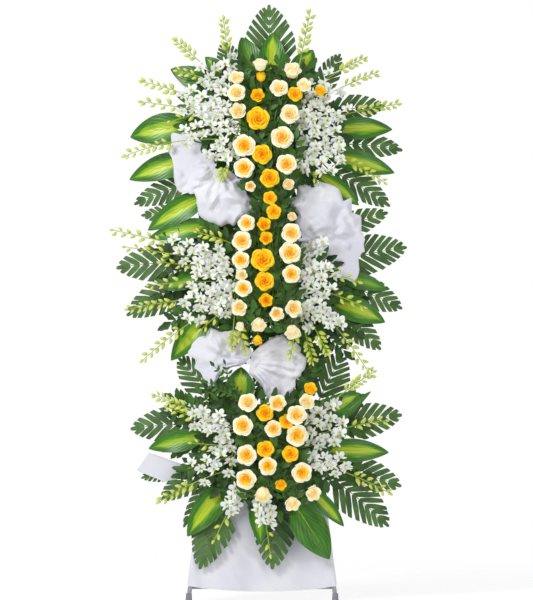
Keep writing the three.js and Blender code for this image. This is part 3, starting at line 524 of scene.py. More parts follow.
# %% Cloth
white_cloth, tree, shader = new_material("white_cloth", 0.78, Sheen_Weight=0.25)
shader.inputs["Sheen Roughness"].default_value = 0.5
fibre = use_group(tree, grain, Scale=900.0, Strength=0.25)
cloud = use_group(tree, grain, Scale=9.0, Strength=0.0)
patches = eased(tree, cloud["Value"], 0.3, 0.75)
cloth_colour = mixed(tree, patches, colour("#e6e6f2"), colour("#f5f5fb"))
cloth_colour = mixed(tree, times(tree, fibre["Value"], 0.18), cloth_colour, colour("#cfd0e2"))
feed(tree, shader, cloth_colour, fibre["Normal"])

# %% Metal, rubber, foam and board
satin_steel, tree, shader = new_material("satin_steel", 0.36, Metallic=0.35)
place = node(tree, "ShaderNodeTexCoord").outputs["Object"]
stretched = node(tree, "ShaderNodeMapping", {"Vector": place, "Scale": (1.0, 1.0, 0.04)}).outputs[0]
streak = node(
    tree, "ShaderNodeTexNoise", {"Vector": stretched, "Scale": 420.0, "Detail": 3.0}
).outputs["Fac"]
steel_colour = mixed(tree, streak, colour("#96969b"), colour("#bcbcc1"))
tree.links.new(steel_colour, shader.inputs["Base Color"])
dulled = maths(tree, "ADD", times(tree, streak, 0.2), 0.28)
tree.links.new(dulled, shader.inputs["Roughness"])


def plain_material(name, roughness, dark, light, scale, strength):
    made, tree, shader = new_material(name, roughness)
    speck = use_group(tree, grain, Scale=scale, Strength=strength)
    blend = mixed(tree, eased(tree, speck["Value"], 0.3, 0.7), dark, light)
    feed(tree, shader, blend, speck["Normal"])
    return made


foot_rubber = plain_material("foot_rubber", 0.7, colour("#7c7c82"), colour("#98989e"), 300.0, 0.3)
wet_foam = plain_material("wet_foam", 0.95, colour("#16361a"), colour("#2f5c34"), 320.0, 1.0)
green_board = plain_material("green_board", 0.6, colour("#2c3a2e"), colour("#3d4c3f"), 60.0, 0.3)
print("materials", len(bpy.data.materials))

# %% [markdown]
# ## The stand
# Two front legs and a rear leg of metal tube meet in a cap, and flat bars carry the banks. The
# frame's own solids could stay, but their facets would show at the feet. So each leg gets
# a round tube over the same line, with softened ends, each foot a rubber tip that is drawn in
# and hollowed at its top, and each flat bar bevelled edges.

# %% Lines of the legs
FOOT_HALF_SPREAD = 233
LEG_SLOPE = 0.128
LEG_START = 6.8
LEG_TOP = 1740
REAR_FOOT_Y = 560
REAR_TOP_Y = 26
FOOT_HEIGHT = 24
FOOT_RADIUS = 10.5
BAR_HEIGHT = 20
BAR_THICKNESS = 4
TUBE_SIDES = 32


def leg_x(z):
    return FOOT_HALF_SPREAD - LEG_SLOPE * z


LEG_LINES = {
    "left": lambda z: Vector((-leg_x(z), 0, z)),
    "right": lambda z: Vector((leg_x(z), 0, z)),
    "rear": lambda z: Vector((0, REAR_FOOT_Y + (REAR_TOP_Y - REAR_FOOT_Y) * z / LEG_TOP, z)),
}


def bevelled(piece, width, segments=2):
    return finished(piece, "BEVEL", width=width, segments=segments, limit_method="ANGLE")


def tube(name, start, end, radius):
    depth = (end - start).length
    bpy.ops.mesh.primitive_cylinder_add(vertices=TUBE_SIDES, radius=radius, depth=depth)
    piece = named(name)
    turn = (end - start).to_track_quat("Z", "Y").to_matrix().to_4x4()
    piece.data.transform(Matrix.Translation((start + end) / 2) @ turn)
    return bevelled(piece, 0.6)


def block(name, low, high, bevel):
    bpy.ops.mesh.primitive_cube_add(size=1)
    piece = named(name)
    low, high = Vector(low), Vector(high)
    stretch = Matrix.Diagonal((*(high - low), 1))
    piece.data.transform(Matrix.Translation((low + high) / 2) @ stretch)
    return bevelled(piece, bevel)


def dressed(piece, material, slot, *nodes, swept=False):
    piece.data.materials.clear()
    piece.data.materials.append(material)
    return stands_for(settle(piece, swept), slot, *nodes, angle=40)


# %% Legs and feet
for side, line in LEG_LINES.items():
    leg = tube(f"leg_{side}_tube", line(LEG_START), line(LEG_TOP), LEG_RADIUS)
    dressed(leg, satin_steel, "steel", f"leg_{side}")
    bpy.ops.mesh.primitive_cylinder_add(vertices=TUBE_SIDES, radius=FOOT_RADIUS, depth=FOOT_HEIGHT)
    foot = named(f"foot_{side}_tip")
    bpy.ops.object.mode_set(mode="EDIT")
    bpy.ops.mesh.select_all(action="DESELECT")
    bpy.ops.object.mode_set(mode="OBJECT")
    for face in foot.data.polygons:
        face.select = face.normal.z > 0.9
    bpy.ops.object.mode_set(mode="EDIT")
    bpy.ops.mesh.select_mode(type="FACE")
    bpy.ops.transform.resize(value=(0.86, 0.86, 1))
    bpy.ops.mesh.inset(thickness=1.6)
    bpy.ops.transform.translate(value=(0, 0, -1.5))
    bpy.ops.object.mode_set(mode="OBJECT")
    foot.data.transform(Matrix.Translation(line(FOOT_HEIGHT / 2)))
    dressed(bevelled(foot, 0.8, 3), foot_rubber, "foot_rubber", f"foot_{side}")

# %% Cap, bars and hem bar
cap = block("stand_cap_plate", (-30, -13, LEG_TOP - 22), (30, 40, LEG_TOP + 6), 3)
dressed(cap, satin_steel, "steel", "stand_cap")
BAR_PLACES = {"upper": 1490, "middle": 1060, "waist": 757, "lower": 500}
for place, z in BAR_PLACES.items():
    half = leg_x(z) + LEG_RADIUS
    low = (-half, BAR_FRONT, z - BAR_HEIGHT / 2)
    high = (half, BAR_FRONT + BAR_THICKNESS, z + BAR_HEIGHT / 2)
    dressed(block(f"bar_{place}_flat", low, high, 1.2), satin_steel, "steel", f"bar_{place}")
HEM_BAR_Z = 41
HEM_BAR_RADIUS = 5
hem_y = LEG_RADIUS + 0.3 + HEM_BAR_RADIUS
hem_ends = [Vector((side * leg_x(HEM_BAR_Z), hem_y, HEM_BAR_Z)) for side in (-1, 1)]
dressed(tube("bar_hem_rod", *hem_ends, HEM_BAR_RADIUS), satin_steel, "steel", "bar_hem")
for name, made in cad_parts.items():
    if name.startswith(("foam_", "board_")):
        made.data.materials.clear()
        made.data.materials.append(wet_foam if name.startswith("foam_") else green_board)
        print(name, "stays, in", made.data.materials[0].name)

# %% [markdown]
# ## Where stems stand in the foam
# A florist pushes every stem into wet foam. Hundreds of holes could be cut for them, but only
# the joint matters, so every fan, group and bunch leaves one hole in a foam block. entry() gives
# the same hole as in the frame, by block, side and place along it, and the stub that fills it.

# %% Foam blocks and their entries
FOAM = {"upper": (1310, 1680), "middle": (885, 1165), "lower": (360, 615)}
FOAM_LEFT, FOAM_RIGHT, FOAM_FRONT = -65, 85, -110
STUB_DEPTH = 28
STUB_RADIUS = 3


def entry(where, side, along, y):
    low, high = FOAM[where]
    face, out = {
        "left": (Vector((FOAM_LEFT, y, along)), Vector((-1, 0, 0))),
        "right": (Vector((FOAM_RIGHT, y, along)), Vector((1, 0, 0))),
        "top": (Vector((along, y, high)), Vector((0, 0, 1))),
        "bottom": (Vector((along, y, low)), Vector((0, 0, -1))),
    }[side]
    hub = face + 2.5 * out
    return hub, ([face - STUB_DEPTH * out, hub + 0.5 * out], [STUB_RADIUS, STUB_RADIUS])


def front_entry(place, y):
    hub = Vector((place[0], y, place[1]))
    inner = Vector((place[0], FOAM_FRONT + STUB_DEPTH, place[1]))
    return hub, ([inner, hub], [STUB_RADIUS, STUB_RADIUS])


# %% [markdown]
# ## Palm fronds
# A florist trims each frond with scissors, so the leaflets end in a straight cut along
# a spade-shaped outline. A frond could be one blade with slits in its colour, but the light
# between the leaflets would be missing. So a leaflet is a folded strip, modelled once as a grid
# and laid along its own direction until it meets that outline. The rib carries them back to the
# foam, and may be led past other pieces by bends: one frond goes behind the cloth tail so.

# %% Rib curves and frond outline
PALM_BACK, PALM_MIDDLE, PALM_FRONT = -22, -28, -34
OUTLINE_ALONG = (0.0, 0.1, 0.3, 0.55, 0.8, 0.93, 1.0)
OUTLINE_OUT = (0.5, 0.82, 1.0, 0.9, 0.58, 0.3, 0.0)
LEAFLET_STEP = 31
LEAFLET_BLADE = 0.8
LEAFLETS_FROM, LEAFLETS_SPAN = 0.02, 0.9
LEAFLET_WIDTH = 1.04
LEAFLET_ANGLE, LEAFLET_CLOSING = 46, 16
RIB_RADIUS, RIB_TIP = 2.3, 0.7
RIB_RISE = 0.05
STACK = 1.4


def arc_point(base, tip, rise, t):
    t = float(t)
    middle = (base + tip) / 2 + Vector((0, 0, rise))
    return (1 - t) ** 2 * base + 2 * t * (1 - t) * middle + t**2 * tip


def flat_place(place, y):
    return Vector((place[0], y, place[1]))


def reach_to_outline(start, direction, length, half_width):
    steps = np.linspace(0, 2.4 * half_width + 20, 160)
    across = abs(start[0] + direction[0] * steps)
    along = (start[1] + direction[1] * steps) / length
    inside = across < half_width * np.interp(along, OUTLINE_ALONG, OUTLINE_OUT)
    inside[0] = True
    return steps[int(np.argmin(inside)) - 1] if not inside.all() else steps[-1]


# %% One frond
bpy.ops.mesh.primitive_grid_add(x_subdivisions=2, y_subdivisions=4, size=2)
leaflet_grid = named("leaflet_grid")
GRID_POINTS = points_of(leaflet_grid).tolist()
print("a leaflet has", len(leaflet_grid.data.polygons), "cells")


def frond(hub, tip, base, half_width, y, rng):
    base, tip = flat_place(base, y), flat_place(tip, y)
    length = (tip - base).length
    rise = RIB_RISE * length
    bow = rng.uniform(4, 9)

    def on_rib(across, along, height):
        t = along / length
        held = min(max(t, 0), 1)
        here = arc_point(base, tip, rise, held)
        ahead = arc_point(base, tip, rise, min(t + 0.02, 1.02))
        ahead = (ahead - arc_point(base, tip, rise, t - 0.02)).normalized()
        side = Vector((-ahead.z, 0, ahead.x))
        back = bow * math.sin(math.pi * held) - 0.0006 * across * across
        extra = max(t - 1, 0) * length
        return here + extra * ahead - across * side + Vector((0, -back - height, 0))

    pieces = []
    count = max(6, round(length / LEAFLET_STEP))
    for i in range(count + 1):
        share = i / count
        start_along = length * (LEAFLETS_FROM + LEAFLETS_SPAN * min(share, 1 - 0.8 / count))
        spread = math.radians(LEAFLET_ANGLE - LEAFLET_CLOSING * share)
        width = length * LEAFLETS_SPAN / count * math.sin(spread) * LEAFLET_WIDTH
        for hand in (1, -1):
            if i == count and hand < 0:
                continue
            angle = 0 if i == count else hand * (spread + rng.uniform(-0.04, 0.04))
            direction = np.array((math.sin(angle), math.cos(angle)))
            normal = np.array((direction[1], -direction[0]))
            points = []
            for u, v, _ in GRID_POINTS:
                v = (v + 1) / 2
                begin = np.array((0.0, start_along)) + normal * (u * width * 0.3)
                reach = reach_to_outline(begin, direction, length, half_width)
                swell = 0.34 + 0.16 * math.sin(math.pi * min(1, v * 1.1))
                place = begin + direction * (reach * v) + normal * (u * width * (swell - 0.3))
                fold = 0.16 * width * abs(u) * min(1, 2 * v)
                droop = 0.0012 * (reach * v) ** 2 * rng.uniform(0.9, 1.1) * 0.3
                points.append(on_rib(float(place[0]), float(place[1]), fold - float(droop)))
            leaflet = copy_at(leaflet_grid, Matrix())
            put_points(leaflet, points)
            shade = rng.random()
            set_tone(leaflet, np.tile((0.5, 0.5, shade, 1), (len(points), 1)))
            pieces.append(leaflet)
    blade = joined("leaflets", pieces)
    blade.data.materials.clear()
    blade.data.materials.append(palm_green)
    finished(blade, "SOLIDIFY", thickness=LEAFLET_BLADE, offset=0)
    rib_line = [on_rib(0, length * k / 8, -0.6) for k in range(9)]
    radii = [RIB_RADIUS] + [RIB_RADIUS - (RIB_RADIUS - RIB_TIP) * k / 8 for k in range(9)]
    return blade, ([hub, *rib_line], radii)


def palm_fan(node_name, where, fronds):
    hub, stub = where
    rng = random.Random(node_name)
    blades, lines = [], [stub]
    for i, (tip, base, half_width, *bends) in enumerate(fronds):
        y = bends[-1].y if bends else hub.y + STACK * (i - (len(fronds) - 1) / 2)
        blade, line = frond(hub, tip, base, half_width, y, rng)
        line[0][1:1] = bends
        line[1][1:1] = [RIB_RADIUS] * len(bends)
        blades.append(blade)
        lines.append(line)
    ribs_piece = stems("ribs", lines, stalk_green)
    fan = settle(joined(f"{node_name}_fronds", [*blades, ribs_piece]))
    stands_for(fan, "palm", node_name)


# %% The fans of the three banks
palm_fan("palm_top", entry("upper", "top", 20, PALM_MIDDLE), [
    [(22, 1901), (26, 1668), 88],
    [(-128, 1780), (-86, 1668), 45],
])
palm_fan("palm_upper_left", entry("upper", "left", 1335, PALM_BACK), [
    [(-412, 1257), (-250, 1318), 42],
    [(-389, 1222), (-240, 1220), 34],
])
palm_fan("palm_upper_right", entry("upper", "right", 1500, PALM_FRONT), [
    [(252, 1742), (185, 1620), 40],
    [(396, 1575), (217, 1550), 48],
    [(453, 1432), (260, 1450), 44],
    [(412, 1250), (211, 1370), 52],
])
palm_fan("palm_middle_left", entry("middle", "left", 1075, PALM_MIDDLE), [
    [(-293, 1195), (-110, 1130), 44],
    [(-469, 1053), (-270, 1070), 62],
    [(-435, 900), (-240, 1000), 60],
])
palm_fan("palm_middle_right", entry("middle", "right", 1060, PALM_MIDDLE), [
    [(405, 1232), (230, 1165), 44],
    [(466, 1120), (260, 1075), 66],
    [(450, 922), (262, 1000), 56],
    [(380, 791), (250, 905), 48],
])
palm_fan("palm_lower_left", entry("lower", "left", 575, PALM_BACK), [
    [(-268, 769), (-166, 657), 58],
    [(-421, 539), (-225, 556), 60],
])
palm_fan("palm_lower_left_hanging", entry("lower", "left", 440, PALM_MIDDLE), [
    [(-386, 383), (-270, 412), 32, Vector((-118, -22, 392)), Vector((-190, 1, 386))],
    [(-322, 316), (-180, 415), 48],
    [(-249, 230), (-175, 370), 26],
    [(-198, 99), (-128, 300), 68],
])
palm_fan("palm_bottom", entry("lower", "bottom", 35, PALM_MIDDLE), [
    [(32, 99), (44, 300), 70],
])
palm_fan("palm_lower_right", entry("lower", "right", 470, PALM_BACK), [
    [(404, 230), (226, 383), 68],
    [(445, 357), (262, 412), 54],
    [(448, 584), (264, 550), 58],
    [(258, 782), (185, 640), 70],
])
bpy.data.objects.remove(leaflet_grid)

# %% [markdown]
# ## Broad leaves
# Striped leaves as long as a hand and a half lie round each bank. One could be cut from a plane
# by its outline, but then it wouldn't bend well. So a blade is a grid whose rows are drawn in to
# the leaf's outline and folded along the rib, with a wave along each margin. Its UV map stays as
# the grid made it, and so the stripe follows the leaf however it bends.

# %% One leaf
LEAF_BACK, LEAF_FRONT = -45, -61
BLADE_FOLD = 0.16
BLADE_THICKNESS = 0.9
MARGIN_WAVE = 0.035
LEAF_RIB_RADIUS, LEAF_RIB_TAPER = 2.4, 1.7
bpy.ops.mesh.primitive_grid_add(x_subdivisions=8, y_subdivisions=18, size=2)
leaf_grid = named("leaf_grid")
LEAF_POINTS = points_of(leaf_grid).tolist()
print("a broad leaf has", len(leaf_grid.data.polygons), "cells")


def leaf_arch(t):
    return 0.05 * math.sin(math.pi * t) - 0.03 * t * t


def leaf_blade(tip, base, width, y, stripe, rng):
    base, tip = flat_place(base, y), flat_place(tip, y)
    length = (tip - base).length
    rise = RIB_RISE * length
    phase = rng.uniform(0, 6)
    points = []
    for u, v, _ in LEAF_POINTS:
        t = (v + 1) / 2
        here = arc_point(base, tip, rise, t)
        ahead = arc_point(base, tip, rise, t + 0.02) - arc_point(base, tip, rise, t - 0.02)
        ahead.normalize()
        side = Vector((-ahead.z, 0, ahead.x))
        profile = max(0.03, math.sin(math.pi * t**0.92) ** 0.74 * (1 - 0.1 * t))
        half = width / 2 * profile
        fold = BLADE_FOLD * half * abs(u)
        wave = MARGIN_WAVE * width * u * u * math.sin(9 * t + phase + u)
        forward = fold + wave + length * leaf_arch(t)
        points.append(here + u * half * side - Vector((0, forward, 0)))
    leaf = copy_at(leaf_grid, Matrix())
    put_points(leaf, points)
    set_tone(leaf, np.tile((stripe, rng.random(), 0.5, 1), (len(points), 1)))
    leaf.data.materials.append(striped_green)
    return leaf


def leaf_group(node_name, where, leaves):
    hub, stub = where
    rng = random.Random(node_name)
    blades, lines = [], [stub]
    for i, (tip, base, width, stripe) in enumerate(leaves):
        y = hub.y + STACK * (i - (len(leaves) - 1) / 2)
        blades.append(leaf_blade(tip, base, width, y, stripe, rng))
        first, last = flat_place(base, y), flat_place(tip, y)
        length = (last - first).length
        rib, radii = [hub], [LEAF_RIB_RADIUS]
        for k in range(10):
            t = k / 10
            back = Vector((0, 0.5 - leaf_arch(t) * length, 0))
            rib.append(arc_point(first, last, RIB_RISE * length, t) + back)
            radii.append(LEAF_RIB_RADIUS - LEAF_RIB_TAPER * t)
        lines.append((rib, radii))
    blade = joined("blades", blades)
    finished(blade, "SOLIDIFY", thickness=BLADE_THICKNESS, offset=0)
    group = settle(joined(f"{node_name}_blades", [blade, stems("ribs", lines, spray_stalk)]))
    stands_for(group, "striped_leaf", node_name)


# %% The leaf groups
leaf_group("leaves_top", entry("upper", "top", 45, LEAF_BACK), [
    [(35, 1809), (30, 1650), 88, 1.0],
    [(-67, 1793), (-13, 1660), 80, 0.25],
    [(163, 1753), (100, 1640), 85, 1.0],
])
leaf_group("leaves_upper_left", entry("upper", "left", 1560, LEAF_FRONT), [
    [(-182, 1729), (-96, 1636), 62, 0.8],
    [(-293, 1691), (-118, 1605), 88, 0.15],
    [(-274, 1605), (-150, 1563), 52, 1.0],
    [(-423, 1474), (-220, 1509), 108, 0.9],
])
leaf_group("leaves_upper_left_low", entry("upper", "left", 1390, LEAF_BACK), [
    [(-426, 1337), (-215, 1404), 88, 1.0],
    [(-365, 1174), (-165, 1290), 84, 1.0],
    [(-360, 1150), (-134, 1188), 72, 0.8],
])
leaf_group("leaves_upper_right", entry("upper", "right", 1440, LEAF_BACK), [
    [(418, 1499), (210, 1493), 78, 1.0],
    [(424, 1359), (206, 1413), 78, 1.0],
    [(309, 1254), (171, 1359), 62, 1.0],
])
leaf_group("leaves_middle_left", entry("middle", "left", 980, LEAF_FRONT), [
    [(-309, 983), (-180, 1030), 55, 0.5],
    [(-289, 759), (-150, 919), 88, 1.0],
])
leaf_group("leaves_middle_right", entry("middle", "right", 990, LEAF_BACK), [
    [(402, 983), (230, 1030), 58, 0.4],
    [(392, 880), (210, 951), 84, 1.0],
])
leaf_group("leaves_lower_left", entry("lower", "left", 505, LEAF_BACK), [
    [(-66, 738), (-74, 612), 98, 0.9],
    [(-360, 479), (-172, 520), 74, 0.7],
    [(-236, 204), (-100, 383), 98, 1.0],
])
leaf_group("leaves_bottom", entry("lower", "bottom", 10, LEAF_FRONT), [
    [(-3, 179), (-18, 345), 65, 0.6],
    [(212, 134), (96, 313), 115, 0.1],
    [(258, 236), (150, 355), 52, 1.0],
])
leaf_group("leaves_lower_right", entry("lower", "right", 535, LEAF_BACK), [
    [(402, 466), (180, 472), 80, 1.0],
    [(313, 654), (170, 574), 72, 1.0],
    [(346, 660), (200, 530), 32, 0.1],
])
bpy.data.objects.remove(leaf_grid)

# %% [markdown]
# ## Roses
# A rose is a nest of cups. It could be one spiral sheet, but real petals overlap and roll on
# their own. So each cup is a ring of petals that share one profile, from the foot up over the
# belly to a rim that rolls outwards. One petal is a small grid wrapped on that profile, with
# rounded corners and one side tucked under its neighbour. Three roses are modelled, open, half
# open and in bud, and the bunches are copies of them.

# %% One petal and a ring of them
PETAL_ROWS = 5
PETAL_COLUMNS = 8
bpy.ops.mesh.primitive_grid_add(x_subdivisions=PETAL_COLUMNS, y_subdivisions=PETAL_ROWS, size=2)
petal_grid = named("petal_grid")
PETAL_POINTS = points_of(petal_grid).tolist()
print("a petal has", len(petal_grid.data.polygons), "cells")


def bezier(points, t):
    a, b, c, d = (np.array(p) for p in points)
    s = 1 - t
    return s**3 * a + 3 * s * s * t * b + 3 * s * t * t * c + t**3 * d


def petal(profile, middle, half_angle, layer, rng):
    phase = rng.uniform(0, 6)
    tuck = rng.uniform(0.05, 0.08)
    size = rng.uniform(0.93, 1.04) if layer > 0.5 else 1
    lift = rng.uniform(-0.05, 0.05)
    points, tones = [], []
    for u, v, _ in PETAL_POINTS:
        v = (v + 1) / 2
        up = v * (1 - 0.2 * abs(u) ** 2.2)
        radius, height = bezier(profile, up)
        opened = 0.42 + 0.58 * math.sin(min(1, v / 0.6) * math.pi / 2)
        angle = middle + math.radians(half_angle) * u * opened
        point = 0.07 * layer * (1 - abs(u)) ** 2 * v**4
        radius = radius * size + tuck * u + point + 0.03 * math.sin(3.2 * u + phase) * v**3
        height += lift * v + 0.04 * math.sin(2.6 * u + 2 * phase) * v**3 - 0.07 * u * u * v**3
        points.append((radius * math.cos(angle), radius * math.sin(angle), height))
        tones.append((layer, v, 0.5, 1))
    made = copy_at(petal_grid, Matrix())
    put_points(made, points)
    set_tone(made, tones)
    return made


OPEN_ROSE = [
    (5, 44, (0.10, -0.62), (1.00, -0.50), (0.86, 0.14), (1.10, -0.06)),
    (5, 44, (0.09, -0.58), (0.84, -0.46), (0.70, 0.26), (0.93, 0.12)),
    (4, 54, (0.08, -0.54), (0.66, -0.44), (0.54, 0.34), (0.72, 0.26)),
    (4, 56, (0.06, -0.50), (0.48, -0.40), (0.40, 0.34), (0.52, 0.36)),
    (3, 68, (0.05, -0.45), (0.32, -0.34), (0.27, 0.30), (0.34, 0.38)),
    (2, 100, (0.03, -0.40), (0.18, -0.30), (0.14, 0.24), (0.15, 0.35)),
]
CUP_ROSE = [
    (5, 45, (0.12, -1.10), (0.98, -1.00), (0.62, 0.20), (1.02, 0.14)),
    (5, 45, (0.10, -1.05), (0.84, -0.94), (0.52, 0.32), (0.80, 0.34)),
    (4, 54, (0.08, -1.00), (0.66, -0.84), (0.42, 0.36), (0.58, 0.48)),
    (3, 66, (0.06, -0.90), (0.44, -0.70), (0.30, 0.34), (0.38, 0.50)),
    (2, 98, (0.04, -0.80), (0.22, -0.50), (0.16, 0.26), (0.16, 0.44)),
]
BUD_ROSE = [
    (4, 56, (0.12, -1.10), (0.98, -0.95), (0.66, 0.20), (0.80, 0.34)),
    (3, 68, (0.10, -1.00), (0.78, -0.80), (0.52, 0.28), (0.56, 0.50)),
    (3, 72, (0.08, -0.90), (0.52, -0.65), (0.36, 0.32), (0.34, 0.58)),
    (2, 98, (0.05, -0.80), (0.26, -0.50), (0.20, 0.30), (0.14, 0.54)),
]

# %% The three roses


def rose_template(name, layers, seed):
    rng = random.Random(seed)
    petals = []
    for k, (count, half_angle, *profile) in enumerate(layers):
        outer = 1 - k / (len(layers) - 1)
        for i in range(count):
            middle = 2 * math.pi * (i / count + 0.382 * k) + rng.uniform(-0.08, 0.08)
            petals.append(petal(profile, middle, half_angle, outer, rng))
    cups = joined("cups", petals)
    cups.data.materials.append(cream_petal)
    finished(cups, "SOLIDIFY", thickness=0.022, offset=0)
    foot_height = layers[0][2][1]
    foot = Matrix.Translation((0, 0, foot_height - 0.02))
    bpy.ops.mesh.primitive_uv_sphere_add(segments=8, ring_count=6, radius=0.17)
    calyx = named("calyx")
    put_points(calyx, points_of(calyx) * (1, 1, 0.9) + (0, 0, foot_height - 0.02))
    sepals = [calyx]
    for i in range(5):
        bpy.ops.mesh.primitive_uv_sphere_add(segments=6, ring_count=4, radius=1)
        sepal = named("sepal")
        points = points_of(sepal) * (0.11, 0.02, 0.3)
        points[:, 0] *= 1 - 0.8 * np.clip(points[:, 2] / 0.3, 0, 1)
        points[:, 2] += 0.25
        put_points(sepal, points)
        lean = Matrix.Rotation(math.radians(48), 4, "X")
        turn = Matrix.Rotation(2 * math.pi * i / 5, 4, "Z")
        sepal.data.transform(foot @ turn @ lean)
        sepals.append(sepal)
    green = joined("calyx", sepals)
    green.data.materials.append(stalk_green)
    set_tone(green, np.tile((0.5, 0.5, 0.5, 1), (len(green.data.vertices), 1)))
    made = joined(name, [cups, green])
    print(name, len(made.data.polygons), "faces")
    return made


ROSES = {
    "open": rose_template("open_rose", OPEN_ROSE, 3),
    "cup": rose_template("cup_rose", CUP_ROSE, 5),
    "bud": rose_template("bud_rose", BUD_ROSE, 7),
}
bpy.data.objects.remove(petal_grid)

# %% [markdown]
# ## Bunches
# The heads stand side by side on stalks of unequal length. Heads that touch would pass through
# each other. They could be pushed apart sideways, but each has its place in the view from the
# front, so a head comes forward a step at a time until it is clear of the heads placed before
# it. The frame does the same, in the same order, and so every rose lands where its solid is.

# %% Placing the bunches
ROSE_PLANES = {"yellow": -122, "cream_top": -118, "cream_low": -114}
ROSE_Y = -158
HEAD_STEP = 6
heads = []


def head_centre(x, z, radius):
    y = ROSE_Y

    def touches(head):
        gap = math.sqrt((head[0] - x) ** 2 + (1.2 * (head[1] - y)) ** 2 + (head[2] - z) ** 2)
        return gap < 0.98 * (head[3] + radius) + 1

    while any(touches(head) for head in heads):
        y -= HEAD_STEP
    heads.append((x, y, z, radius))
    return Vector((x, y, z))


def rose_bunch(node_name, hub_place, plane, material, slot, roses):
    hub, stub = front_entry(hub_place, plane - 1.5)
    rng = random.Random(node_name)
    flowers, lines = [], [stub]
    for x, z, diameter, up, aside, form, warmth in roses:
        centre = head_centre(x, z, diameter / 2)
        facing = Vector((math.sin(math.radians(aside)), -1, math.tan(math.radians(up))))
        facing.normalize()
        size = diameter / 2 * (0.98 if form == "open" else 0.92)
        template = ROSES[form]
        matrix = facing_matrix(centre, facing, rng.uniform(0, 6.28), size)
        flower = copy_at(template, matrix, (material, stalk_green))
        flowers.append(tint(flower, 2, warmth))
        foot = centre - facing * size * (0.66 if form == "open" else 0.98)
        bend = Vector((x * 0.8 + hub.x * 0.2, plane + 4, z * 0.8 + hub.z * 0.2))
        lines.append(([foot + facing * 2, foot - facing * 8, bend, hub], [2.2, 1.9, 1.9, 1.9]))
    bunch = joined(f"{node_name}_flowers", [*flowers, stems("stalks", lines, stalk_green)])
    stands_for(settle(bunch), slot, node_name)


def yellow_bunch(node_name, hub_place, roses):
    rose_bunch(node_name, hub_place, ROSE_PLANES["yellow"], yellow_petal, "yellow_petal", roses)


def cream_bunch(node_name, hub_place, plane, roses):
    rose_bunch(node_name, hub_place, ROSE_PLANES[plane], cream_petal, "cream_petal", roses)


# %% Roses of the upper bank
yellow_bunch("roses_yellow_upper", (8, 1452), [
    (-3, 1662, 38, 55, 0, "bud", 0.6),
    (105, 1605, 44, 10, 10, "open", 0.5),
    (185, 1614, 38, 25, 20, "cup", 0.6),
    (-14, 1601, 46, 10, 0, "cup", 0.5),
    (-13, 1526, 68, 5, 0, "open", 0.3),
    (0, 1413, 58, 0, 0, "open", 0.6),
    (24, 1337, 56, 0, 0, "open", 0.7),
])
cream_bunch("roses_cream_top", (50, 1560), "cream_top", [
    (-6, 1700, 50, 60, 0, "cup", 0.1),
    (96, 1681, 60, 40, 10, "cup", 0.1),
    (54, 1624, 54, 20, 0, "open", 0.25),
    (134, 1630, 50, 20, 15, "cup", 0.1),
    (-80, 1656, 50, 30, -10, "cup", 0.25),
    (-81, 1608, 54, 15, -10, "open", 0.35),
    (-77, 1550, 56, 10, -10, "cup", 0.25),
    (89, 1541, 58, 5, 10, "open", 0.3),
])
cream_bunch("roses_cream_upper", (30, 1385), "cream_low", [
    (64, 1466, 66, 0, 5, "open", 0.7),
    (-57, 1440, 66, 0, -5, "open", 1.0),
    (78, 1381, 60, 0, 5, "open", 0.8),
    (-57, 1368, 60, -5, -5, "open", 1.0),
    (83, 1317, 48, 0, 10, "bud", 0.15),
    (-37, 1311, 36, -10, 0, "cup", 0.8),
])

# %% Roses of the middle bank
yellow_bunch("roses_yellow_middle", (10, 1115), [
    (25, 1274, 40, 5, 0, "open", 0.6),
    (37, 1230, 44, 0, 0, "open", 0.6),
    (6, 1190, 46, 10, 0, "cup", 0.5),
    (13, 1146, 44, 5, 0, "cup", 0.4),
    (2, 1078, 68, 5, 0, "open", 0.5),
    (8, 1010, 56, 0, 0, "open", 0.8),
    (13, 950, 46, 0, 0, "cup", 0.6),
    (-14, 822, 38, -50, 0, "bud", 0.2),
])
cream_bunch("roses_cream_middle", (50, 1105), "cream_top", [
    (94, 1214, 38, 5, 5, "bud", 0.15),
    (-49, 1194, 50, 5, -5, "open", 0.8),
    (93, 1163, 58, 5, 5, "open", 0.7),
    (-64, 1137, 58, 0, -5, "open", 0.8),
    (89, 1100, 64, 0, 5, "open", 0.8),
    (-67, 1077, 52, 0, -5, "open", 0.9),
])
cream_bunch("roses_cream_waist", (30, 960), "cream_low", [
    (93, 1033, 54, 0, 5, "open", 0.9),
    (-64, 1030, 40, 0, -5, "cup", 0.2),
    (-59, 988, 50, 0, -5, "open", 0.9),
    (-72, 927, 54, -5, -10, "cup", 0.3),
    (46, 908, 48, -5, 0, "cup", 0.4),
    (100, 925, 58, 0, 10, "cup", 0.4),
    (-10, 872, 52, -40, 0, "cup", 0.1),
    (96, 849, 54, -40, 5, "cup", 0.1),
    (-70, 868, 36, -30, -10, "bud", 0.0),
])

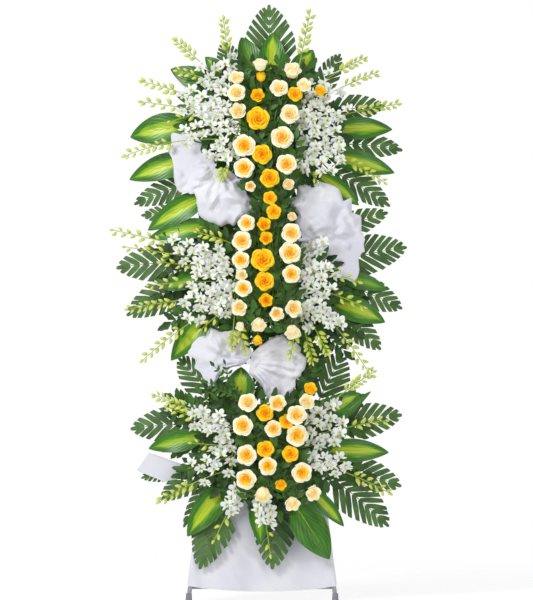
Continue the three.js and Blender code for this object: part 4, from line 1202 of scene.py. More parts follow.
# %% Roses of the lower bank
yellow_bunch("roses_yellow_lower", (48, 545), [
    (152, 672, 44, 25, 15, "cup", 0.6),
    (10, 597, 50, 10, 0, "open", 0.7),
    (78, 570, 44, 5, 0, "open", 0.7),
    (11, 483, 50, 0, 0, "open", 0.7),
    (89, 468, 48, 0, 0, "open", 0.8),
    (59, 372, 38, -20, 0, "cup", 0.7),
])
cream_bunch("roses_cream_lower", (66, 600), "cream_top", [
    (140, 632, 54, 15, 15, "cup", 0.2),
    (-45, 630, 56, 20, -10, "open", 0.5),
    (49, 627, 58, 20, 0, "cup", 0.8),
    (108, 592, 58, 10, 5, "open", 0.6),
    (-61, 557, 60, 5, -10, "open", 0.85),
    (36, 547, 50, 0, 0, "open", 0.8),
    (110, 526, 64, 0, 5, "open", 0.9),
])
cream_bunch("roses_cream_bottom", (36, 430), "cream_low", [
    (-49, 464, 60, 0, -10, "open", 0.9),
    (18, 431, 54, 0, 0, "open", 1.0),
    (126, 410, 60, -5, 10, "open", 1.0),
    (-51, 389, 60, -10, -10, "open", 1.0),
    (2, 338, 58, -50, 0, "cup", 0.3),
    (160, 345, 52, -15, 15, "cup", 0.2),
    (96, 313, 52, -30, 5, "cup", 0.2),
])
for template in ROSES.values():
    bpy.data.objects.remove(template)

# %% [markdown]
# ## Orchid sprays
# A spray is an arching stalk with open white blooms on its inner part and green buds that get
# smaller towards its tip, each on a short stalk of its own, left and right in turn. A bloom has
# three narrow sepals, two broad petals and a small lip. Its petals could be curved grids as in
# the roses, but there are hundreds of blooms as small as a coin, so each petal is a flattened
# sphere of a dozen faces.

# %% A bloom and a bud


def lens(name, segments, length, width, shape):
    bpy.ops.mesh.primitive_uv_sphere_add(segments=segments, ring_count=2, radius=1)
    piece = named(name)
    points = points_of(piece)
    flat = points[:, (1, 0, 2)] * (width / 2, length / 2, 0.03) + (0, length / 2, 0)
    t = flat[:, 1] / length
    flat[:, 0] *= shape(t)
    flat[:, 2] += 0.22 * length * t * t - 0.25 * abs(flat[:, 0])
    put_points(piece, flat)
    set_tone(piece, [(p, 0.5, 0.5, 1) for p in np.clip(t, 0, 1)])
    return piece


def turned(degrees, forward=0.0):
    turn = Matrix.Rotation(math.radians(degrees), 4, "Z")
    return Matrix.Translation((0, 0, forward)) @ turn


def bloom_template():
    petals = []
    for degrees in (0, 122, -122):
        sepal = lens("sepal", 6, 1.0, 0.42, lambda t: 1.15 - 0.5 * t)
        sepal.data.transform(turned(degrees))
        petals.append(sepal)
    for degrees in (62, -62):
        broad = lens("broad", 8, 0.95, 0.8, lambda t: 0.7 + 0.5 * t)
        broad.data.transform(turned(degrees, 0.05))
        petals.append(broad)
    lip = lens("lip", 6, 0.55, 0.42, lambda t: 0.8 + 0.5 * t)
    set_tone(lip, [(0.18, 0.5, 0.5, 1)] * len(lip.data.vertices))
    curl = Matrix.Rotation(math.radians(40), 4, "X")
    lip.data.transform(turned(180, 0.06) @ curl)
    petals.append(lip)
    made = joined("bloom", petals)
    made.data.materials.append(orchid_white)
    return made


BUD_WIDTH = 0.31


def bud_template():
    bpy.ops.mesh.primitive_uv_sphere_add(segments=6, ring_count=5, radius=1)
    made = named("bud")
    points = points_of(made)
    t = (points[:, 2] + 1) / 2
    swell = 1.15 - 0.55 * t
    bend = 0.12 * np.sin(math.pi * t)
    x, y = points[:, 0] * BUD_WIDTH * swell + bend, points[:, 1] * BUD_WIDTH * swell
    put_points(made, np.stack([x, y, t], 1))
    set_tone(made, [(0.5, p, 0.3, 1) for p in t])
    made.data.materials.append(bud_green)
    return made


BLOOM = bloom_template()
BUD = bud_template()
print("bloom", len(BLOOM.data.polygons), "faces, bud", len(BUD.data.polygons), "faces")

# %% One spray
ORCHID_Y = -98
SPRAY_POINTS = 12
BUD_SHARE = 1.35
BUD_SIZE, BUD_TAPER = 29, 13
OPEN_SHARE = 0.52


def spray(hub, foot, tip, blooms, buds, rise, tip_y, rng):
    foot, tip = flat_place(foot, 0), flat_place(tip, 0)
    run = tip - foot
    start_y = ORCHID_Y + rng.uniform(-10, 8)

    def place(t):
        lift = rise * 4 * t * (1 - t)
        return foot + run * t + Vector((0, start_y + (tip_y - start_y) * t, lift))

    def ahead(t):
        return (place(t + 0.03) - place(t - 0.03)).normalized()

    line = [place(k / SPRAY_POINTS) for k in range(SPRAY_POINTS + 1)]
    radii = [2.1 - 0.9 * k / SPRAY_POINTS for k in range(SPRAY_POINTS + 1)]
    lines = [([hub, *line], [1.8, *radii])]
    pieces = []
    blooms_end = OPEN_SHARE if buds else 1.0
    for i in range(blooms):
        t = blooms_end * (i + 0.3) / blooms
        side = ahead(t).cross(Vector((0, -1, 0))) * (1 if i % 2 else -1)
        out = (side * rng.uniform(0.5, 1.0) + Vector((0, -rng.uniform(0.5, 1.1), 0))).normalized()
        centre = place(t) + out * rng.uniform(14, 24)
        aside, up = rng.uniform(-0.5, 0.5), rng.uniform(-0.45, 0.35)
        facing = Vector((0.5 * side.x + aside, -1, 0.5 * side.z + up)).normalized()
        spin, size = rng.uniform(-0.7, 0.7), rng.uniform(23, 28)
        pieces.append(copy_at(BLOOM, facing_matrix(centre, facing, spin, size)))
        lines.append(([place(t), centre], [0.9, 1.1]))
    buds = round(BUD_SHARE * buds)
    for i in range(buds):
        if blooms:
            t = min(1, blooms_end + (1 - blooms_end) * (i + 0.4) / max(1, buds - 0.6))
        else:
            t = min(1, 0.25 + 0.75 * i / max(1, buds - 1))
        side = ahead(t).cross(Vector((0, -1, 0))) * (1 if i % 2 else -1)
        last = i == buds - 1
        spread = 0 if last else rng.uniform(0.55, 0.95)
        out = (ahead(t) + side * spread + Vector((0, -rng.uniform(0.0, 0.4), 0))).normalized()
        size = (BUD_SIZE - BUD_TAPER * t) * rng.uniform(0.85, 1.2)
        begin = place(t) + out * (0 if last else 7)
        matrix = facing_matrix(begin, out, rng.uniform(0, 6.28), size)
        pieces.append(tint(copy_at(BUD, matrix), 2, rng.uniform(0, 0.8)))
        lines.append(([place(t), begin + out], [0.8, 0.8]))
    return pieces, lines


def orchid_sprays(node_name, where, sprays):
    hub, stub = where
    rng = random.Random(node_name)
    pieces, lines = [], [stub]
    for foot, tip, blooms, buds, rise in sprays:
        tip_y = ORCHID_Y - 6 + rng.uniform(-8, 4)
        made, stalks = spray(hub, foot, tip, blooms, buds, rise, tip_y, rng)
        pieces += made
        lines += stalks
    whole = joined(f"{node_name}_sprays", [*pieces, stems("stalks", lines, spray_stalk)])
    stands_for(settle(whole), "orchid_petal", node_name, angle=60)


# %% Sprays of the upper bank
orchid_sprays("orchids_upper_left", entry("upper", "left", 1520, ORCHID_Y), [
    [(-95, 1620), (-123, 1845), 6, 9, 0],
    [(-128, 1640), (-276, 1777), 3, 8, 6],
    [(-118, 1620), (-268, 1680), 5, 5, 10],
    [(-135, 1560), (-380, 1648), 7, 8, 8],
    [(-135, 1545), (-383, 1585), 7, 6, 0],
    [(-100, 1560), (-290, 1520), 8, 2, 6],
    [(-95, 1500), (-260, 1478), 8, 0, 4],
    [(-90, 1530), (-230, 1555), 6, 0, 4],
    [(-95, 1450), (-180, 1400), 6, 0, 0],
    [(-118, 1461), (-434, 1413), 3, 10, 18],
    [(-95, 1420), (-128, 1343), 2, 6, 0],
])
orchid_sprays("orchids_upper_right", entry("upper", "right", 1550, ORCHID_Y), [
    [(115, 1680), (153, 1869), 0, 10, 0],
    [(150, 1620), (325, 1723), 3, 8, 4],
    [(150, 1575), (362, 1678), 4, 8, 4],
    [(150, 1510), (431, 1577), 5, 10, 6],
    [(140, 1440), (389, 1327), 6, 9, 14],
    [(115, 1610), (205, 1570), 5, 0, 0],
    [(115, 1565), (245, 1520), 7, 0, 4],
    [(110, 1530), (260, 1465), 8, 0, 4],
    [(115, 1480), (270, 1400), 8, 0, 6],
    [(115, 1440), (225, 1345), 7, 0, 0],
    [(120, 1400), (175, 1330), 4, 2, 0],
])

# %% Sprays of the middle bank
orchid_sprays("orchids_middle_left", entry("middle", "left", 1050, ORCHID_Y), [
    [(-110, 1090), (-474, 1174), 8, 9, 0],
    [(-110, 1070), (-435, 1120), 8, 6, 0],
    [(-85, 1125), (-205, 1165), 0, 7, 4],
    [(-105, 1050), (-319, 1070), 7, 5, 0],
    [(-105, 1010), (-357, 998), 7, 6, 4],
    [(-105, 970), (-424, 922), 5, 11, 4],
    [(-100, 950), (-376, 762), 6, 10, 16],
    [(-95, 1000), (-220, 930), 7, 0, 0],
    [(-90, 950), (-190, 860), 6, 3, 0],
    [(-85, 930), (-96, 801), 1, 6, 0],
    [(-80, 900), (-54, 790), 0, 6, 0],
])
orchid_sprays("orchids_middle_right", entry("middle", "right", 990, ORCHID_Y), [
    [(115, 1090), (210, 1125), 5, 0, 0],
    [(120, 1050), (303, 1010), 7, 4, 6],
    [(120, 1000), (322, 930), 7, 5, 6],
    [(120, 960), (250, 870), 7, 0, 0],
    [(115, 930), (160, 755), 3, 8, 0],
    [(130, 930), (207, 785), 4, 8, 0],
    [(150, 940), (335, 725), 7, 9, 22],
    [(115, 1020), (240, 1050), 6, 0, 0],
    [(112, 900), (90, 770), 0, 6, 0],
])

# %% Sprays of the lower bank
orchid_sprays("orchids_lower_left", entry("lower", "left", 540, ORCHID_Y), [
    [(-110, 560), (-338, 650), 5, 10, 0],
    [(-110, 545), (-300, 612), 4, 6, 0],
    [(-105, 530), (-225, 570), 5, 0, 0],
    [(-95, 490), (-220, 500), 5, 2, 0],
    [(-95, 460), (-235, 420), 6, 0, 0],
    [(-95, 420), (-319, 317), 3, 8, 10],
])
orchid_sprays("orchids_lower_right", entry("lower", "right", 480, ORCHID_Y), [
    [(160, 580), (352, 722), 2, 10, 6],
    [(150, 560), (235, 610), 5, 0, 0],
    [(150, 520), (390, 570), 5, 7, 4],
    [(150, 490), (265, 520), 5, 0, 0],
    [(150, 450), (280, 440), 6, 0, 0],
    [(150, 440), (398, 343), 5, 9, 12],
])
orchid_sprays("orchids_bottom", entry("lower", "bottom", -30, ORCHID_Y), [
    [(-65, 370), (-150, 198), 7, 3, 0],
    [(0, 330), (26, 155), 9, 2, 0],
])
bpy.data.objects.remove(BLOOM)
bpy.data.objects.remove(BUD)

# %% [markdown]
# ## Leafy filler
# Small dark leaves on thin stems fill every gap between the flowers and hide the foam. A painted
# dark backing could fill the gaps, but it would show from the side. So a small leaf is a grid of
# ten cells with a toothed edge, folded a little, and copied along each stem. A leaf that would
# grow through the head of a rose is left out, and more stems stand behind the cloth and the
# broad leaves.

# %% A small leaf
bpy.ops.mesh.primitive_grid_add(x_subdivisions=2, y_subdivisions=5, size=2)
small_leaf = named("small_leaf")
shape = points_of(small_leaf)
leaf_t = (shape[:, 1] + 1) / 2
teeth = 1 + 0.14 * np.where(np.round(leaf_t * 5) % 2 == 0, 1, -1)
half = 0.24 * np.sin(np.pi * np.clip(leaf_t, 0.02, 0.985) ** 0.85) ** 0.8 * teeth
leaf_x = shape[:, 0] * half
put_points(small_leaf, np.stack([leaf_x, leaf_t, 0.3 * abs(leaf_x) - 0.12 * leaf_t**2], 1))
set_tone(small_leaf, np.tile((0.5, 0.5, 0.5, 1), (len(shape), 1)))
small_leaf.data.materials.append(filler_green)
finished(small_leaf, "SOLIDIFY", thickness=0.02, offset=0)
print("small leaf", len(small_leaf.data.polygons), "faces")

# %% Sprigs
GREENS_Y = -131
SPRIG_STEP = 17
COLUMN_LEAF = 36
RING_LEAF = 46


def in_a_rose(place):
    return any(
        (place.x - x) ** 2 + (place.y - y) ** 2 + (place.z - z) ** 2 < radius**2
        for x, y, z, radius in heads
    )


def sprig(hub, start, end, start_y, end_y, leaf_size, rng):
    start, end = flat_place(start, start_y), flat_place(end, end_y)
    run = end - start
    sway = Vector((rng.uniform(-6, 6), 0, rng.uniform(-6, 6)))
    count = max(3, round(run.length / SPRIG_STEP))
    shares = [k / count for k in range(count + 1)]
    points = [start + run * share + sway * math.sin(math.pi * share) for share in shares]
    along = run.normalized()
    leaves = []
    for k, point in enumerate(points):
        for hand in ((0,) if k == count else (1, -1)):
            side = along.cross(Vector((0, -1, 0))) * hand
            direction = along + side * rng.uniform(0.9, 1.8)
            direction.y -= rng.uniform(-0.3, 0.7)
            normal = Vector((rng.uniform(-0.5, 0.5), -1, rng.uniform(-0.5, 0.5)))
            matrix = leaf_matrix(point, direction, normal, leaf_size * rng.uniform(0.75, 1.2))
            shade = rng.random()
            if not any(in_a_rose(matrix @ Vector((0, part, 0))) for part in (0, 0.4, 0.7, 1)):
                leaves.append(tint(copy_at(small_leaf, matrix), 0, shade))
    return leaves, ([hub, *points], [1.8] + [1.5 - 0.8 * share for share in shares])


def leafy_stems(node_name, hub_place, lines, ring, extra=()):
    hub, stub = front_entry(hub_place, GREENS_Y - 2)
    rng = random.Random(node_name)
    leaves, stalks = [], [stub]

    def grow(start, end, start_y, end_y, size):
        made, stalk = sprig(hub, start, end, start_y, end_y, size, rng)
        leaves.extend(made)
        stalks.append(stalk)

    for start, end in lines:
        grow(start, end, rng.uniform(-128, -118), rng.uniform(-146, -124), COLUMN_LEAF)
    middle, inner, outer, count, span = ring
    for k in range(count):
        for low, high in span:
            turn = math.radians(low + (high - low) * (k + rng.uniform(-0.3, 0.3)) / (count - 1))
            way = (math.cos(turn), math.sin(turn))
            start = (middle[0] + inner * way[0], middle[1] + inner * way[1])
            reach = outer * rng.uniform(0.8, 1.1)
            end = (middle[0] + reach * way[0], middle[1] + reach * way[1])
            grow(start, end, rng.uniform(-96, -80), rng.uniform(-78, -66), RING_LEAF)
    for start, end, depths, size in extra:
        grow(start, end, *depths, size)
    whole = joined(f"{node_name}_sprigs", [*leaves, stems("stalks", stalks, stalk_green)])
    stands_for(settle(whole), "greens", node_name, angle=60)


def column(x_places, low, high, steps):
    lines = []
    for x in x_places:
        for k in range(steps):
            z = low + (high - low) * k / steps
            lines.append(((x, z), (x + (12 if k % 2 else -12), z + (high - low) / steps)))
    return lines


BEHIND_CLOTH = (-38, -32)
BEHIND_LEAVES = (-44, -38)


leafy_stems(
    "greens_upper", (30, 1480),
    column((-45, -15, 25, 60, 95), 1300, 1700, 5),
    ((10, 1500), 100, 225, 15, ((-54, 62), (118, 194))),
    extra=[
        ((-80, 1430), (-190, 1385), BEHIND_CLOTH, 42),
        ((-75, 1400), (-160, 1340), BEHIND_CLOTH, 42),
        ((-70, 1370), (-120, 1290), BEHIND_CLOTH, 42),
        ((-60, 1330), (-80, 1240), BEHIND_CLOTH, 42),
    ],
)
leafy_stems(
    "greens_middle", (38, 1052),
    column((-45, -10, 30, 65, 98), 850, 1180, 5) + column((2, 26, 50, 64), 1180, 1320, 3),
    ((10, 1030), 95, 225, 14, ((-64, 16), (142, 244))),
    extra=[
        *[((x, z), (x + 10, z + 70), (-96, -100), 44) for x in (-10, 25, 60) for z in (1170, 1240)],
        *[((x, 880), (x - 6, 790), BEHIND_CLOTH, 40) for x in (-60, -30, 0, 30)],
        *[((x, 860), (x + 40, 760), BEHIND_CLOTH, 40) for x in (40, 90)],
        *[((x, 1110), (x + 14, 1250), BEHIND_CLOTH, 42) for x in (84, 104, 122)],
        *[((x, 1160), (x, 1290), BEHIND_CLOTH, 42) for x in (-40, -14)],
        ((-200, 1085), (-310, 1105), BEHIND_LEAVES, 44),
        ((-180, 1105), (-280, 1150), BEHIND_LEAVES, 44),
        ((-90, 1120), (-170, 1195), BEHIND_CLOTH, 42),
        ((-70, 1140), (-110, 1230), BEHIND_CLOTH, 42),
        ((-190, 1060), (-300, 1035), BEHIND_LEAVES, 44),
        ((-190, 1010), (-320, 968), BEHIND_LEAVES, 44),
        ((-180, 950), (-290, 880), BEHIND_LEAVES, 44),
        ((-150, 910), (-240, 820), BEHIND_LEAVES, 44),
        ((170, 930), (300, 850), BEHIND_LEAVES, 44),
        ((150, 890), (260, 790), BEHIND_LEAVES, 44),
        ((170, 990), (320, 960), BEHIND_LEAVES, 44),
    ],
)
leafy_stems(
    "greens_lower", (30, 520),
    column((-50, -15, 25, 65, 110), 330, 636, 4),
    ((20, 490), 90, 215, 15, ((-80, 62), (128, 260))),
    extra=[
        ((-60, 640), (-150, 742), (-112, -130), 20),
        ((-70, 640), (-170, 690), (-112, -128), 20),
        ((-84, 640), (-116, 748), (-112, -132), 16),
        ((100, 640), (150, 850), (-60, -64), 44),
        ((130, 640), (190, 800), (-60, -64), 44),
        ((115, 640), (165, 760), (-66, -70), 40),
        ((-120, 560), (-190, 650), (-40, -36), 44),
        ((-120, 600), (-165, 720), (-40, -36), 44),
        *[((x, 630), (x + 6, 690), BEHIND_CLOTH, 34) for x in (-30, 10, 50)],
        ((-170, 600), (-280, 640), BEHIND_LEAVES, 42),
        ((-170, 560), (-290, 585), BEHIND_LEAVES, 42),
        ((-160, 500), (-280, 480), BEHIND_LEAVES, 42),
        ((-150, 450), (-260, 400), BEHIND_LEAVES, 42),
        ((200, 600), (300, 640), BEHIND_LEAVES, 42),
        ((200, 540), (320, 545), BEHIND_LEAVES, 42),
        ((200, 430), (320, 400), BEHIND_LEAVES, 42),
    ],
)
bpy.data.objects.remove(small_leaf)

# %% [markdown]
# ## Gathered cloth
# Each puff is a loop of cloth gathered at one point and filled with air. A simulation could
# gather it, but it wouldn't keep the outline that the real puff has. So it starts as a sphere
# whose rings run from the middle of the front out to the rim and back in behind. Its pleats fan
# out from the gather, facets of two sizes break the rest into flat creased fields, as stiff
# cloth does, and the same facets notch its rim. One pass of Smooth rounds the creases a little
# before Solidify gives the sheet its thickness.

# %% Outlines and puffs
CLOTH_BACK = -73
PUFF_RIM = 4
PUFF_SEGMENTS = 160
PUFF_RINGS = 56
CLOTH_THICKNESS = 1.0
PLEAT_RELIEF = 5
PLEAT_FADE = 90
BROAD_FACET, BROAD_RELIEF = 46, 20
FINE_FACET, FINE_RELIEF = 21, 8
MEAN_RELIEF = 13
BACK_PLEAT, BACK_RELIEF = 2.2, 3
RIM_FACET, RIM_NOTCH, RIM_SPARE = 30, 0.15, 0.02


def closed_curve(points, share):
    count = len(points)
    k = int(share * count) % count
    t = share * count - int(share * count)
    a, b, c, d = (np.array(points[(k + i - 1) % count], float) for i in range(4))
    bend, twist = 2 * a - 5 * b + 4 * c - d, 3 * b - a - 3 * c + d
    return 0.5 * (2 * b + (c - a) * t + bend * t**2 + twist * t**3)


def smooth(value, low, high):
    t = min(1, max(0, (value - low) / (high - low)))
    return t * t * (3 - 2 * t)


def facets(x, z, size, seed):
    shift = Vector((x * 0.017, z * 0.017, seed))
    x, z = x + 16 * noise.noise(shift), z + 16 * noise.noise(shift + Vector((5, 9, 2)))
    v = z / (0.866 * size)
    u = x / size - 0.5 * v
    i, j = math.floor(u), math.floor(v)
    fu, fv = u - i, v - j

    def height(a, b):
        return noise.cell(Vector((a + 0.5, b + 0.5, seed + 0.5)))

    far = fu + fv > 1
    corner = height(i + 1, j + 1) if far else height(i, j)
    shares = (fu + fv - 1, 1 - fv, 1 - fu) if far else (1 - fu - fv, fu, fv)
    return shares[0] * corner + shares[1] * height(i + 1, j) + shares[2] * height(i, j + 1)


def puff(name, centre, outline, gather, depth_at, pleats, seed, reach=130):
    bpy.ops.mesh.primitive_uv_sphere_add(segments=PUFF_SEGMENTS, ring_count=PUFF_RINGS, radius=1)
    piece = named(name)
    centre = np.array(centre, float)
    points = []
    for x, y, z in points_of(piece).tolist():
        polar = math.acos(max(-1, min(1, z)))
        front = polar <= math.pi / 2
        share = (polar if front else math.pi - polar) / (math.pi / 2)
        rim = closed_curve(outline, (math.atan2(y, x) / (2 * math.pi)) % 1)
        px, pz = centre + share * (rim - centre)
        from_gather = math.hypot(px - gather[0], pz - gather[1])
        fan = math.atan2(pz - gather[1], px - gather[0])
        soft = noise.noise(Vector((px, pz, seed * 50)) * 0.012)
        fold = math.sin(pleats * fan + 5 * soft) * smooth(from_gather, 5, 70)
        broad = facets(px, pz, BROAD_FACET, 2 * seed + front)
        fine = facets(px, pz, FINE_FACET, 7 * seed + front)
        near = 1 - smooth(from_gather, reach - PLEAT_FADE, reach)
        dome = max(0.0, 1 - share**4) ** 0.6
        if front:
            relief = PLEAT_RELIEF * near * fold + BROAD_RELIEF * broad + FINE_RELIEF * fine
            out = -dome * max(2.0, depth_at(px, pz) + relief - MEAN_RELIEF)
        else:
            relief = BACK_PLEAT * fold + BACK_RELIEF * broad
            out = dome * max(1.0, 5 + relief * 0.5)
        notch = facets(rim[0], rim[1], RIM_FACET, 3 * seed) - 0.5
        edge = 1 + (RIM_SPARE + RIM_NOTCH * notch) * smooth(share, 0.6, 1)
        px, pz = centre + (np.array((px, pz)) - centre) * edge
        points.append((px, CLOTH_BACK - PUFF_RIM + out, pz))
    put_points(piece, points)
    piece.data.materials.append(white_cloth)
    finished(outward(piece), "SMOOTH", factor=0.5, iterations=1)
    return finished(piece, "SOLIDIFY", thickness=CLOTH_THICKNESS, offset=-1)


def neck(name, path, radii):
    return stems(name, [(path, radii)], white_cloth, sides=4)


def cloth_piece(node_name, pieces, flat):
    whole = joined(f"{node_name}_fabric", pieces)
    settle(whole)
    stands_for(whole, "white_cloth", node_name, angle=60)
    area = sum(face.area for face in whole.data.polygons)
    print(whole.name, "surface", round(area, 4), "m2, flat", flat)
    return whole


# %% The puffs of the upper half
PUFF_DEPTH = 30
UNDER_ORCHIDS = 7
FULL_DEPTH = PUFF_DEPTH - UNDER_ORCHIDS


def below(low, high):
    return lambda x, z: UNDER_ORCHIDS + FULL_DEPTH * (1 - smooth(z, low, high))


def above(low, high):
    return lambda x, z: UNDER_ORCHIDS + FULL_DEPTH * smooth(z, low, high)


def pinned_neck(start, *places):
    pin_y = CLOTH_BACK - 10
    return neck("neck", [flat_place(place, pin_y) for place in (start, *places)], [3, 6, 8])


left_loops = [
    puff("loop_high", (-225, 1385), [
        (-271, 1485), (-300, 1455), (-296, 1413), (-286, 1372), (-271, 1308),
        (-226, 1276), (-182, 1295), (-150, 1349), (-160, 1425), (-205, 1478),
    ], (-140, 1390), below(1340, 1390), 13, 1),
    puff("loop_low", (-118, 1275), [
        (-211, 1314), (-204, 1240), (-179, 1209), (-118, 1180), (-73, 1190),
        (-35, 1206), (-14, 1232), (-22, 1262), (-52, 1306), (-92, 1356), (-165, 1368),
    ], (-140, 1360), below(1310, 1360), 15, 2),
]
left_neck = pinned_neck((FOAM_LEFT + STUB_DEPTH, 1332), (-82, 1332), (-132, 1300))
cloth_piece("cloth_puff_left", [*left_loops, left_neck], (0.5, 0.28))
right_loop = puff("loop", (225, 1165), [
    (74, 1268), (92, 1290), (106, 1330), (153, 1340), (220, 1320), (274, 1277),
    (306, 1230), (324, 1176), (329, 1120), (318, 1060), (290, 1000), (215, 1010),
    (146, 1056), (116, 1120), (106, 1190),
], (122, 1142), above(1120, 1170), 17, 3)
right_neck = pinned_neck((FOAM_RIGHT - STUB_DEPTH, 1142), (120, 1142), (152, 1142))
cloth_piece("cloth_puff_right", [right_loop, right_neck], (0.48, 0.3))

# %% The waist bow
KNOT = (-42, 757)
bow_loops = [
    puff("bow_left", (-130, 780), [
        (-239, 791), (-191, 850), (-134, 862), (-73, 848), (-35, 807), (-29, 780),
        (-48, 752), (-86, 734), (-128, 712), (-166, 668), (-198, 721),
    ], KNOT, lambda x, z: PUFF_DEPTH, 19, 4, reach=170),
    puff("bow_right", (50, 742), [
        (-40, 775), (22, 826), (70, 838), (115, 822), (130, 791), (138, 759),
        (124, 708), (96, 660), (78, 636), (16, 641), (-10, 676), (-48, 735),
    ], KNOT, lambda x, z: PUFF_DEPTH, 27, 5, reach=200),
]
knot_ends = [flat_place(KNOT, BAR_FRONT - 0.3), flat_place(KNOT, CLOTH_BACK - 8)]
bow_neck = neck("neck", knot_ends, [9, 10])
cloth_piece("cloth_bow", [*bow_loops, bow_neck], (0.6, 0.25))

# %% [markdown]
# ## The tail and the skirt
# The tail is a flat band that comes out from beside the lower foam. The skirt is one sheet hung
# round both front legs, with its side edges turned in behind them and faint creases across its
# front. All of it could be modelled by hand, but cloth between two legs hangs by its weight, so
# a short cloth simulation, pinned at the top and where the cloth wraps the legs, gives it its
# slack. Its moves are capped, and the creases never go back as far as the hem's rod.

# %% The tail
TAIL_Y = -15.6
TAIL = [
    ((-66, 428), (-66, 470)),
    ((-160, 405), (-160, 452)),
    ((-309, 373), (-258, 431)),
    ((-399, 408), (-360, 466)),
]
bpy.ops.mesh.primitive_grid_add(x_subdivisions=36, y_subdivisions=6, size=2)
tail = named("tail")
tail_points = []
for u, v, _ in points_of(tail).tolist():
    s = (u + 1) / 2 * (len(TAIL) - 1)
    k = min(int(s), len(TAIL) - 2)
    low = np.array(TAIL[k][0]) * (1 - s + k) + np.array(TAIL[k + 1][0]) * (s - k)
    high = np.array(TAIL[k][1]) * (1 - s + k) + np.array(TAIL[k + 1][1]) * (s - k)
    x, z = low + (high - low) * (v + 1) / 2
    tail_points.append((x, TAIL_Y + 0.5 * math.sin(0.05 * x), z))
put_points(tail, tail_points)
tail.data.materials.append(white_cloth)
finished(tail, "SOLIDIFY", thickness=CLOTH_THICKNESS, offset=0)
cloth_piece("cloth_tail", [tail], (0.35, 0.06))

# %% The skirt's shape
SKIRT_TOP = 345
SKIRT_HEM = 46
SKIRT_INNER = LEG_RADIUS + 2.6
HEM_SAG = 14
WRAP_START, WRAP_END = 75, 270
WRAP_COLUMNS = 12
SKIRT_COLUMNS = 72
SKIRT_ROWS = 42
CREASE_SIZE, CREASE_DEPTH, CREASE_IN = 52, 13, 5
bpy.ops.mesh.primitive_grid_add(x_subdivisions=SKIRT_COLUMNS, y_subdivisions=SKIRT_ROWS, size=2)
skirt = named("skirt")
skirt_points = []
free = []
for u, v, _ in points_of(skirt).tolist():
    column_at = (u + 1) / 2 * SKIRT_COLUMNS
    height = SKIRT_HEM + (SKIRT_TOP - SKIRT_HEM) * (v + 1) / 2
    side = -1 if column_at < SKIRT_COLUMNS / 2 else 1
    inward = min(column_at, SKIRT_COLUMNS - column_at)
    if inward <= WRAP_COLUMNS:
        angle = math.radians(WRAP_START + (WRAP_END - WRAP_START) * inward / WRAP_COLUMNS)
        lift = 8 * smooth(math.sin(angle) + 0.5, -0.2, 0.2) * (1 - smooth(height, SKIRT_HEM, 120))
        z = height + lift
        x = side * (leg_x(z) - SKIRT_INNER * math.cos(angle))
        y = SKIRT_INNER * math.sin(angle)
    else:
        share = (inward - WRAP_COLUMNS) / (SKIRT_COLUMNS / 2 - WRAP_COLUMNS)
        z = height - HEM_SAG * (1 - smooth(height, SKIRT_HEM, 200)) * (1 - (1 - share) ** 2)
        x = side * leg_x(height) * (1 - share)
        belly = 4 * (1 - (height - SKIRT_HEM) / (SKIRT_TOP - SKIRT_HEM))
        slack = 3.2 * noise.noise(Vector((x * 0.012, z * 0.004, 3)))
        drawn = facets(0.9 * (x + 0.8 * z), 0.35 * (z - 0.8 * x), CREASE_SIZE, 9)
        crease = CREASE_DEPTH * drawn - CREASE_IN
        calm = smooth(share, 0, 0.2)
        y = -SKIRT_INNER - calm * max(0.0, belly + slack + crease)
    skirt_points.append((x, y, z))
    free.append(0.0 if inward <= WRAP_COLUMNS + 1 or v > 0.97 else 1.0)
put_points(skirt, skirt_points)
skirt.data.materials.append(white_cloth)
settle(skirt, swept=False)

# %% The skirt's slack, simulated
SKIRT_FRAMES = 20
SKIRT_CAP = 0.007


def slackened(piece, free, frames, cap):
    before = points_of(piece)
    pins = piece.vertex_groups.new(name="pins")
    for index, value in enumerate(free):
        pins.add([index], 1.0 - value, "REPLACE")
    only(piece)
    cloth = piece.modifiers.new("Cloth", "CLOTH")
    cloth.settings.vertex_group_mass = "pins"
    cloth.settings.quality = 6
    cloth.settings.mass = 0.15
    cloth.settings.tension_stiffness = 25
    cloth.settings.bending_stiffness = 1.2
    cloth.settings.shrink_min = -0.025
    cloth.collision_settings.use_collision = False
    cloth.point_cache.frame_end = frames
    scene = bpy.context.scene
    for step in range(1, frames + 1):
        scene.frame_set(step)
    bpy.ops.object.modifier_apply(modifier=cloth.name)
    scene.frame_set(1)
    moved = points_of(piece) - before
    far = np.linalg.norm(moved, axis=1, keepdims=True)
    put_points(piece, before + moved * np.minimum(1, cap / np.maximum(far, 1e-9)))
    print(piece.name, "moved up to", round(float(far.max()) * 1000, 1), "mm")
    piece.vertex_groups.clear()


slackened(skirt, free, SKIRT_FRAMES, SKIRT_CAP)
finished(skirt, "SOLIDIFY", thickness=1.1 * MM, offset=0)
skirt = joined("cloth_skirt_fabric", [skirt])
stands_for(skirt, "white_cloth", "cloth_skirt", angle=60)

# %% [markdown]
# ## Floor, light and camera
# The spray stands on a plain pale floor. A square floor would show its edge, so it is a wide
# disc that fades into a white surround. A large soft lamp at the upper left and a weaker one at
# the right model the petals. A near camera would spread the banks, and the photograph shows
# almost no perspective, so the camera looks level from far in front.

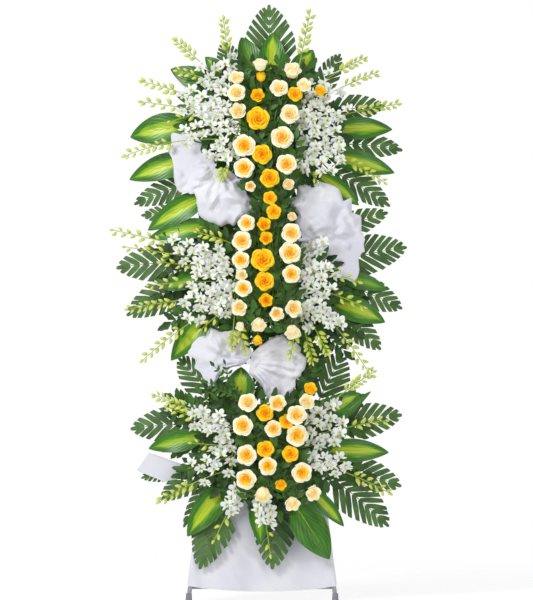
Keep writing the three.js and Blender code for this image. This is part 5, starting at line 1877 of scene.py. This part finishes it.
# %% Floor
bpy.ops.mesh.primitive_circle_add(vertices=96, radius=4, fill_type="NGON")
floor = named("floor")
floor_paint, tree, shader = new_material("floor_paint", 0.9)
shader.inputs["Base Color"].default_value = colour("#fafafa")
shader.inputs["Emission Color"].default_value = (1, 1, 1, 1)
shader.inputs["Emission Strength"].default_value = 0.35
place = node(tree, "ShaderNodeTexCoord").outputs["Object"]
distance = node(tree, "ShaderNodeVectorMath", {0: place}, operation="LENGTH").outputs["Value"]
fade = inverse(tree, eased(tree, distance, 0.5, 2.4))
tree.links.new(times(tree, fade, 0.4), shader.inputs["Alpha"])
floor.data.materials.append(floor_paint)
floor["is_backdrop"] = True

# %% World and lamps
scene = bpy.context.scene
world = bpy.data.worlds.new("surround")
world.use_nodes = True
scene.world = world
sky = world.node_tree
seen = sky.nodes["Background"]
seen.inputs["Color"].default_value = (1, 1, 1, 1)
soft_light = node(sky, "ShaderNodeBackground", {"Color": (1, 1, 1, 1), "Strength": 0.55})
by_ray = node(sky, "ShaderNodeLightPath").outputs["Is Camera Ray"]
lights = {0: by_ray, 1: soft_light.outputs[0], 2: seen.outputs[0]}
whole_sky = node(sky, "ShaderNodeMixShader", lights)
sky.links.new(whole_sky.outputs[0], sky.nodes["World Output"].inputs["Surface"])
LAMPS_AIM = Vector((0, 0, 1))


def lamp(name, place, size, power):
    light = bpy.data.lights.new(name, "AREA")
    light.shape = "DISK"
    light.size = size
    light.energy = power
    made = bpy.data.objects.new(name, light)
    made.location = place
    made.rotation_euler = (LAMPS_AIM - Vector(place)).to_track_quat("-Z", "Y").to_euler()
    scene.collection.objects.link(made)
    print("lamp", name, "of", power, "W")


lamp("key", (-2.6, -2.9, 3.1), size=1.4, power=88)
lamp("fill", (2.8, -2.9, 1.4), size=2.2, power=18)
scene.view_settings.view_transform = "Standard"
scene.view_settings.look = "None"

# %% Camera
PHOTO_HEIGHT = 1.914
PHOTO_MIDDLE = Vector((0.014 + MIDDLE_X * MM, 0.0, 0.951))
CAMERA_DISTANCE = 12.0
BANKS_Y = -0.1
camera = bpy.data.cameras.new("camera")
camera.sensor_width = 36
camera.lens = camera.sensor_width * CAMERA_DISTANCE / PHOTO_HEIGHT
camera.clip_end = 100
viewer = bpy.data.objects.new("camera", camera)
viewer.location = (PHOTO_MIDDLE.x, BANKS_Y - CAMERA_DISTANCE, PHOTO_MIDDLE.z)
viewer.rotation_euler = (math.pi / 2, 0, 0)
scene.collection.objects.link(viewer)
scene.camera = viewer
print("camera lens", round(camera.lens, 1), "mm")

# %% [markdown]
# ## Sizes and the end
# The dressed spray may not outgrow the frame, so the box of the dressed pieces is printed, with
# the count of their triangles. Each dressed piece rides on the body.

# %% Sizes and the end
low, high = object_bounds()
print("visual box", [round(v, 3) for v in low], [round(v, 3) for v in high])
triangles = sum(len(face.vertices) - 2 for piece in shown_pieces() for face in piece.data.polygons)
print("triangles", triangles)
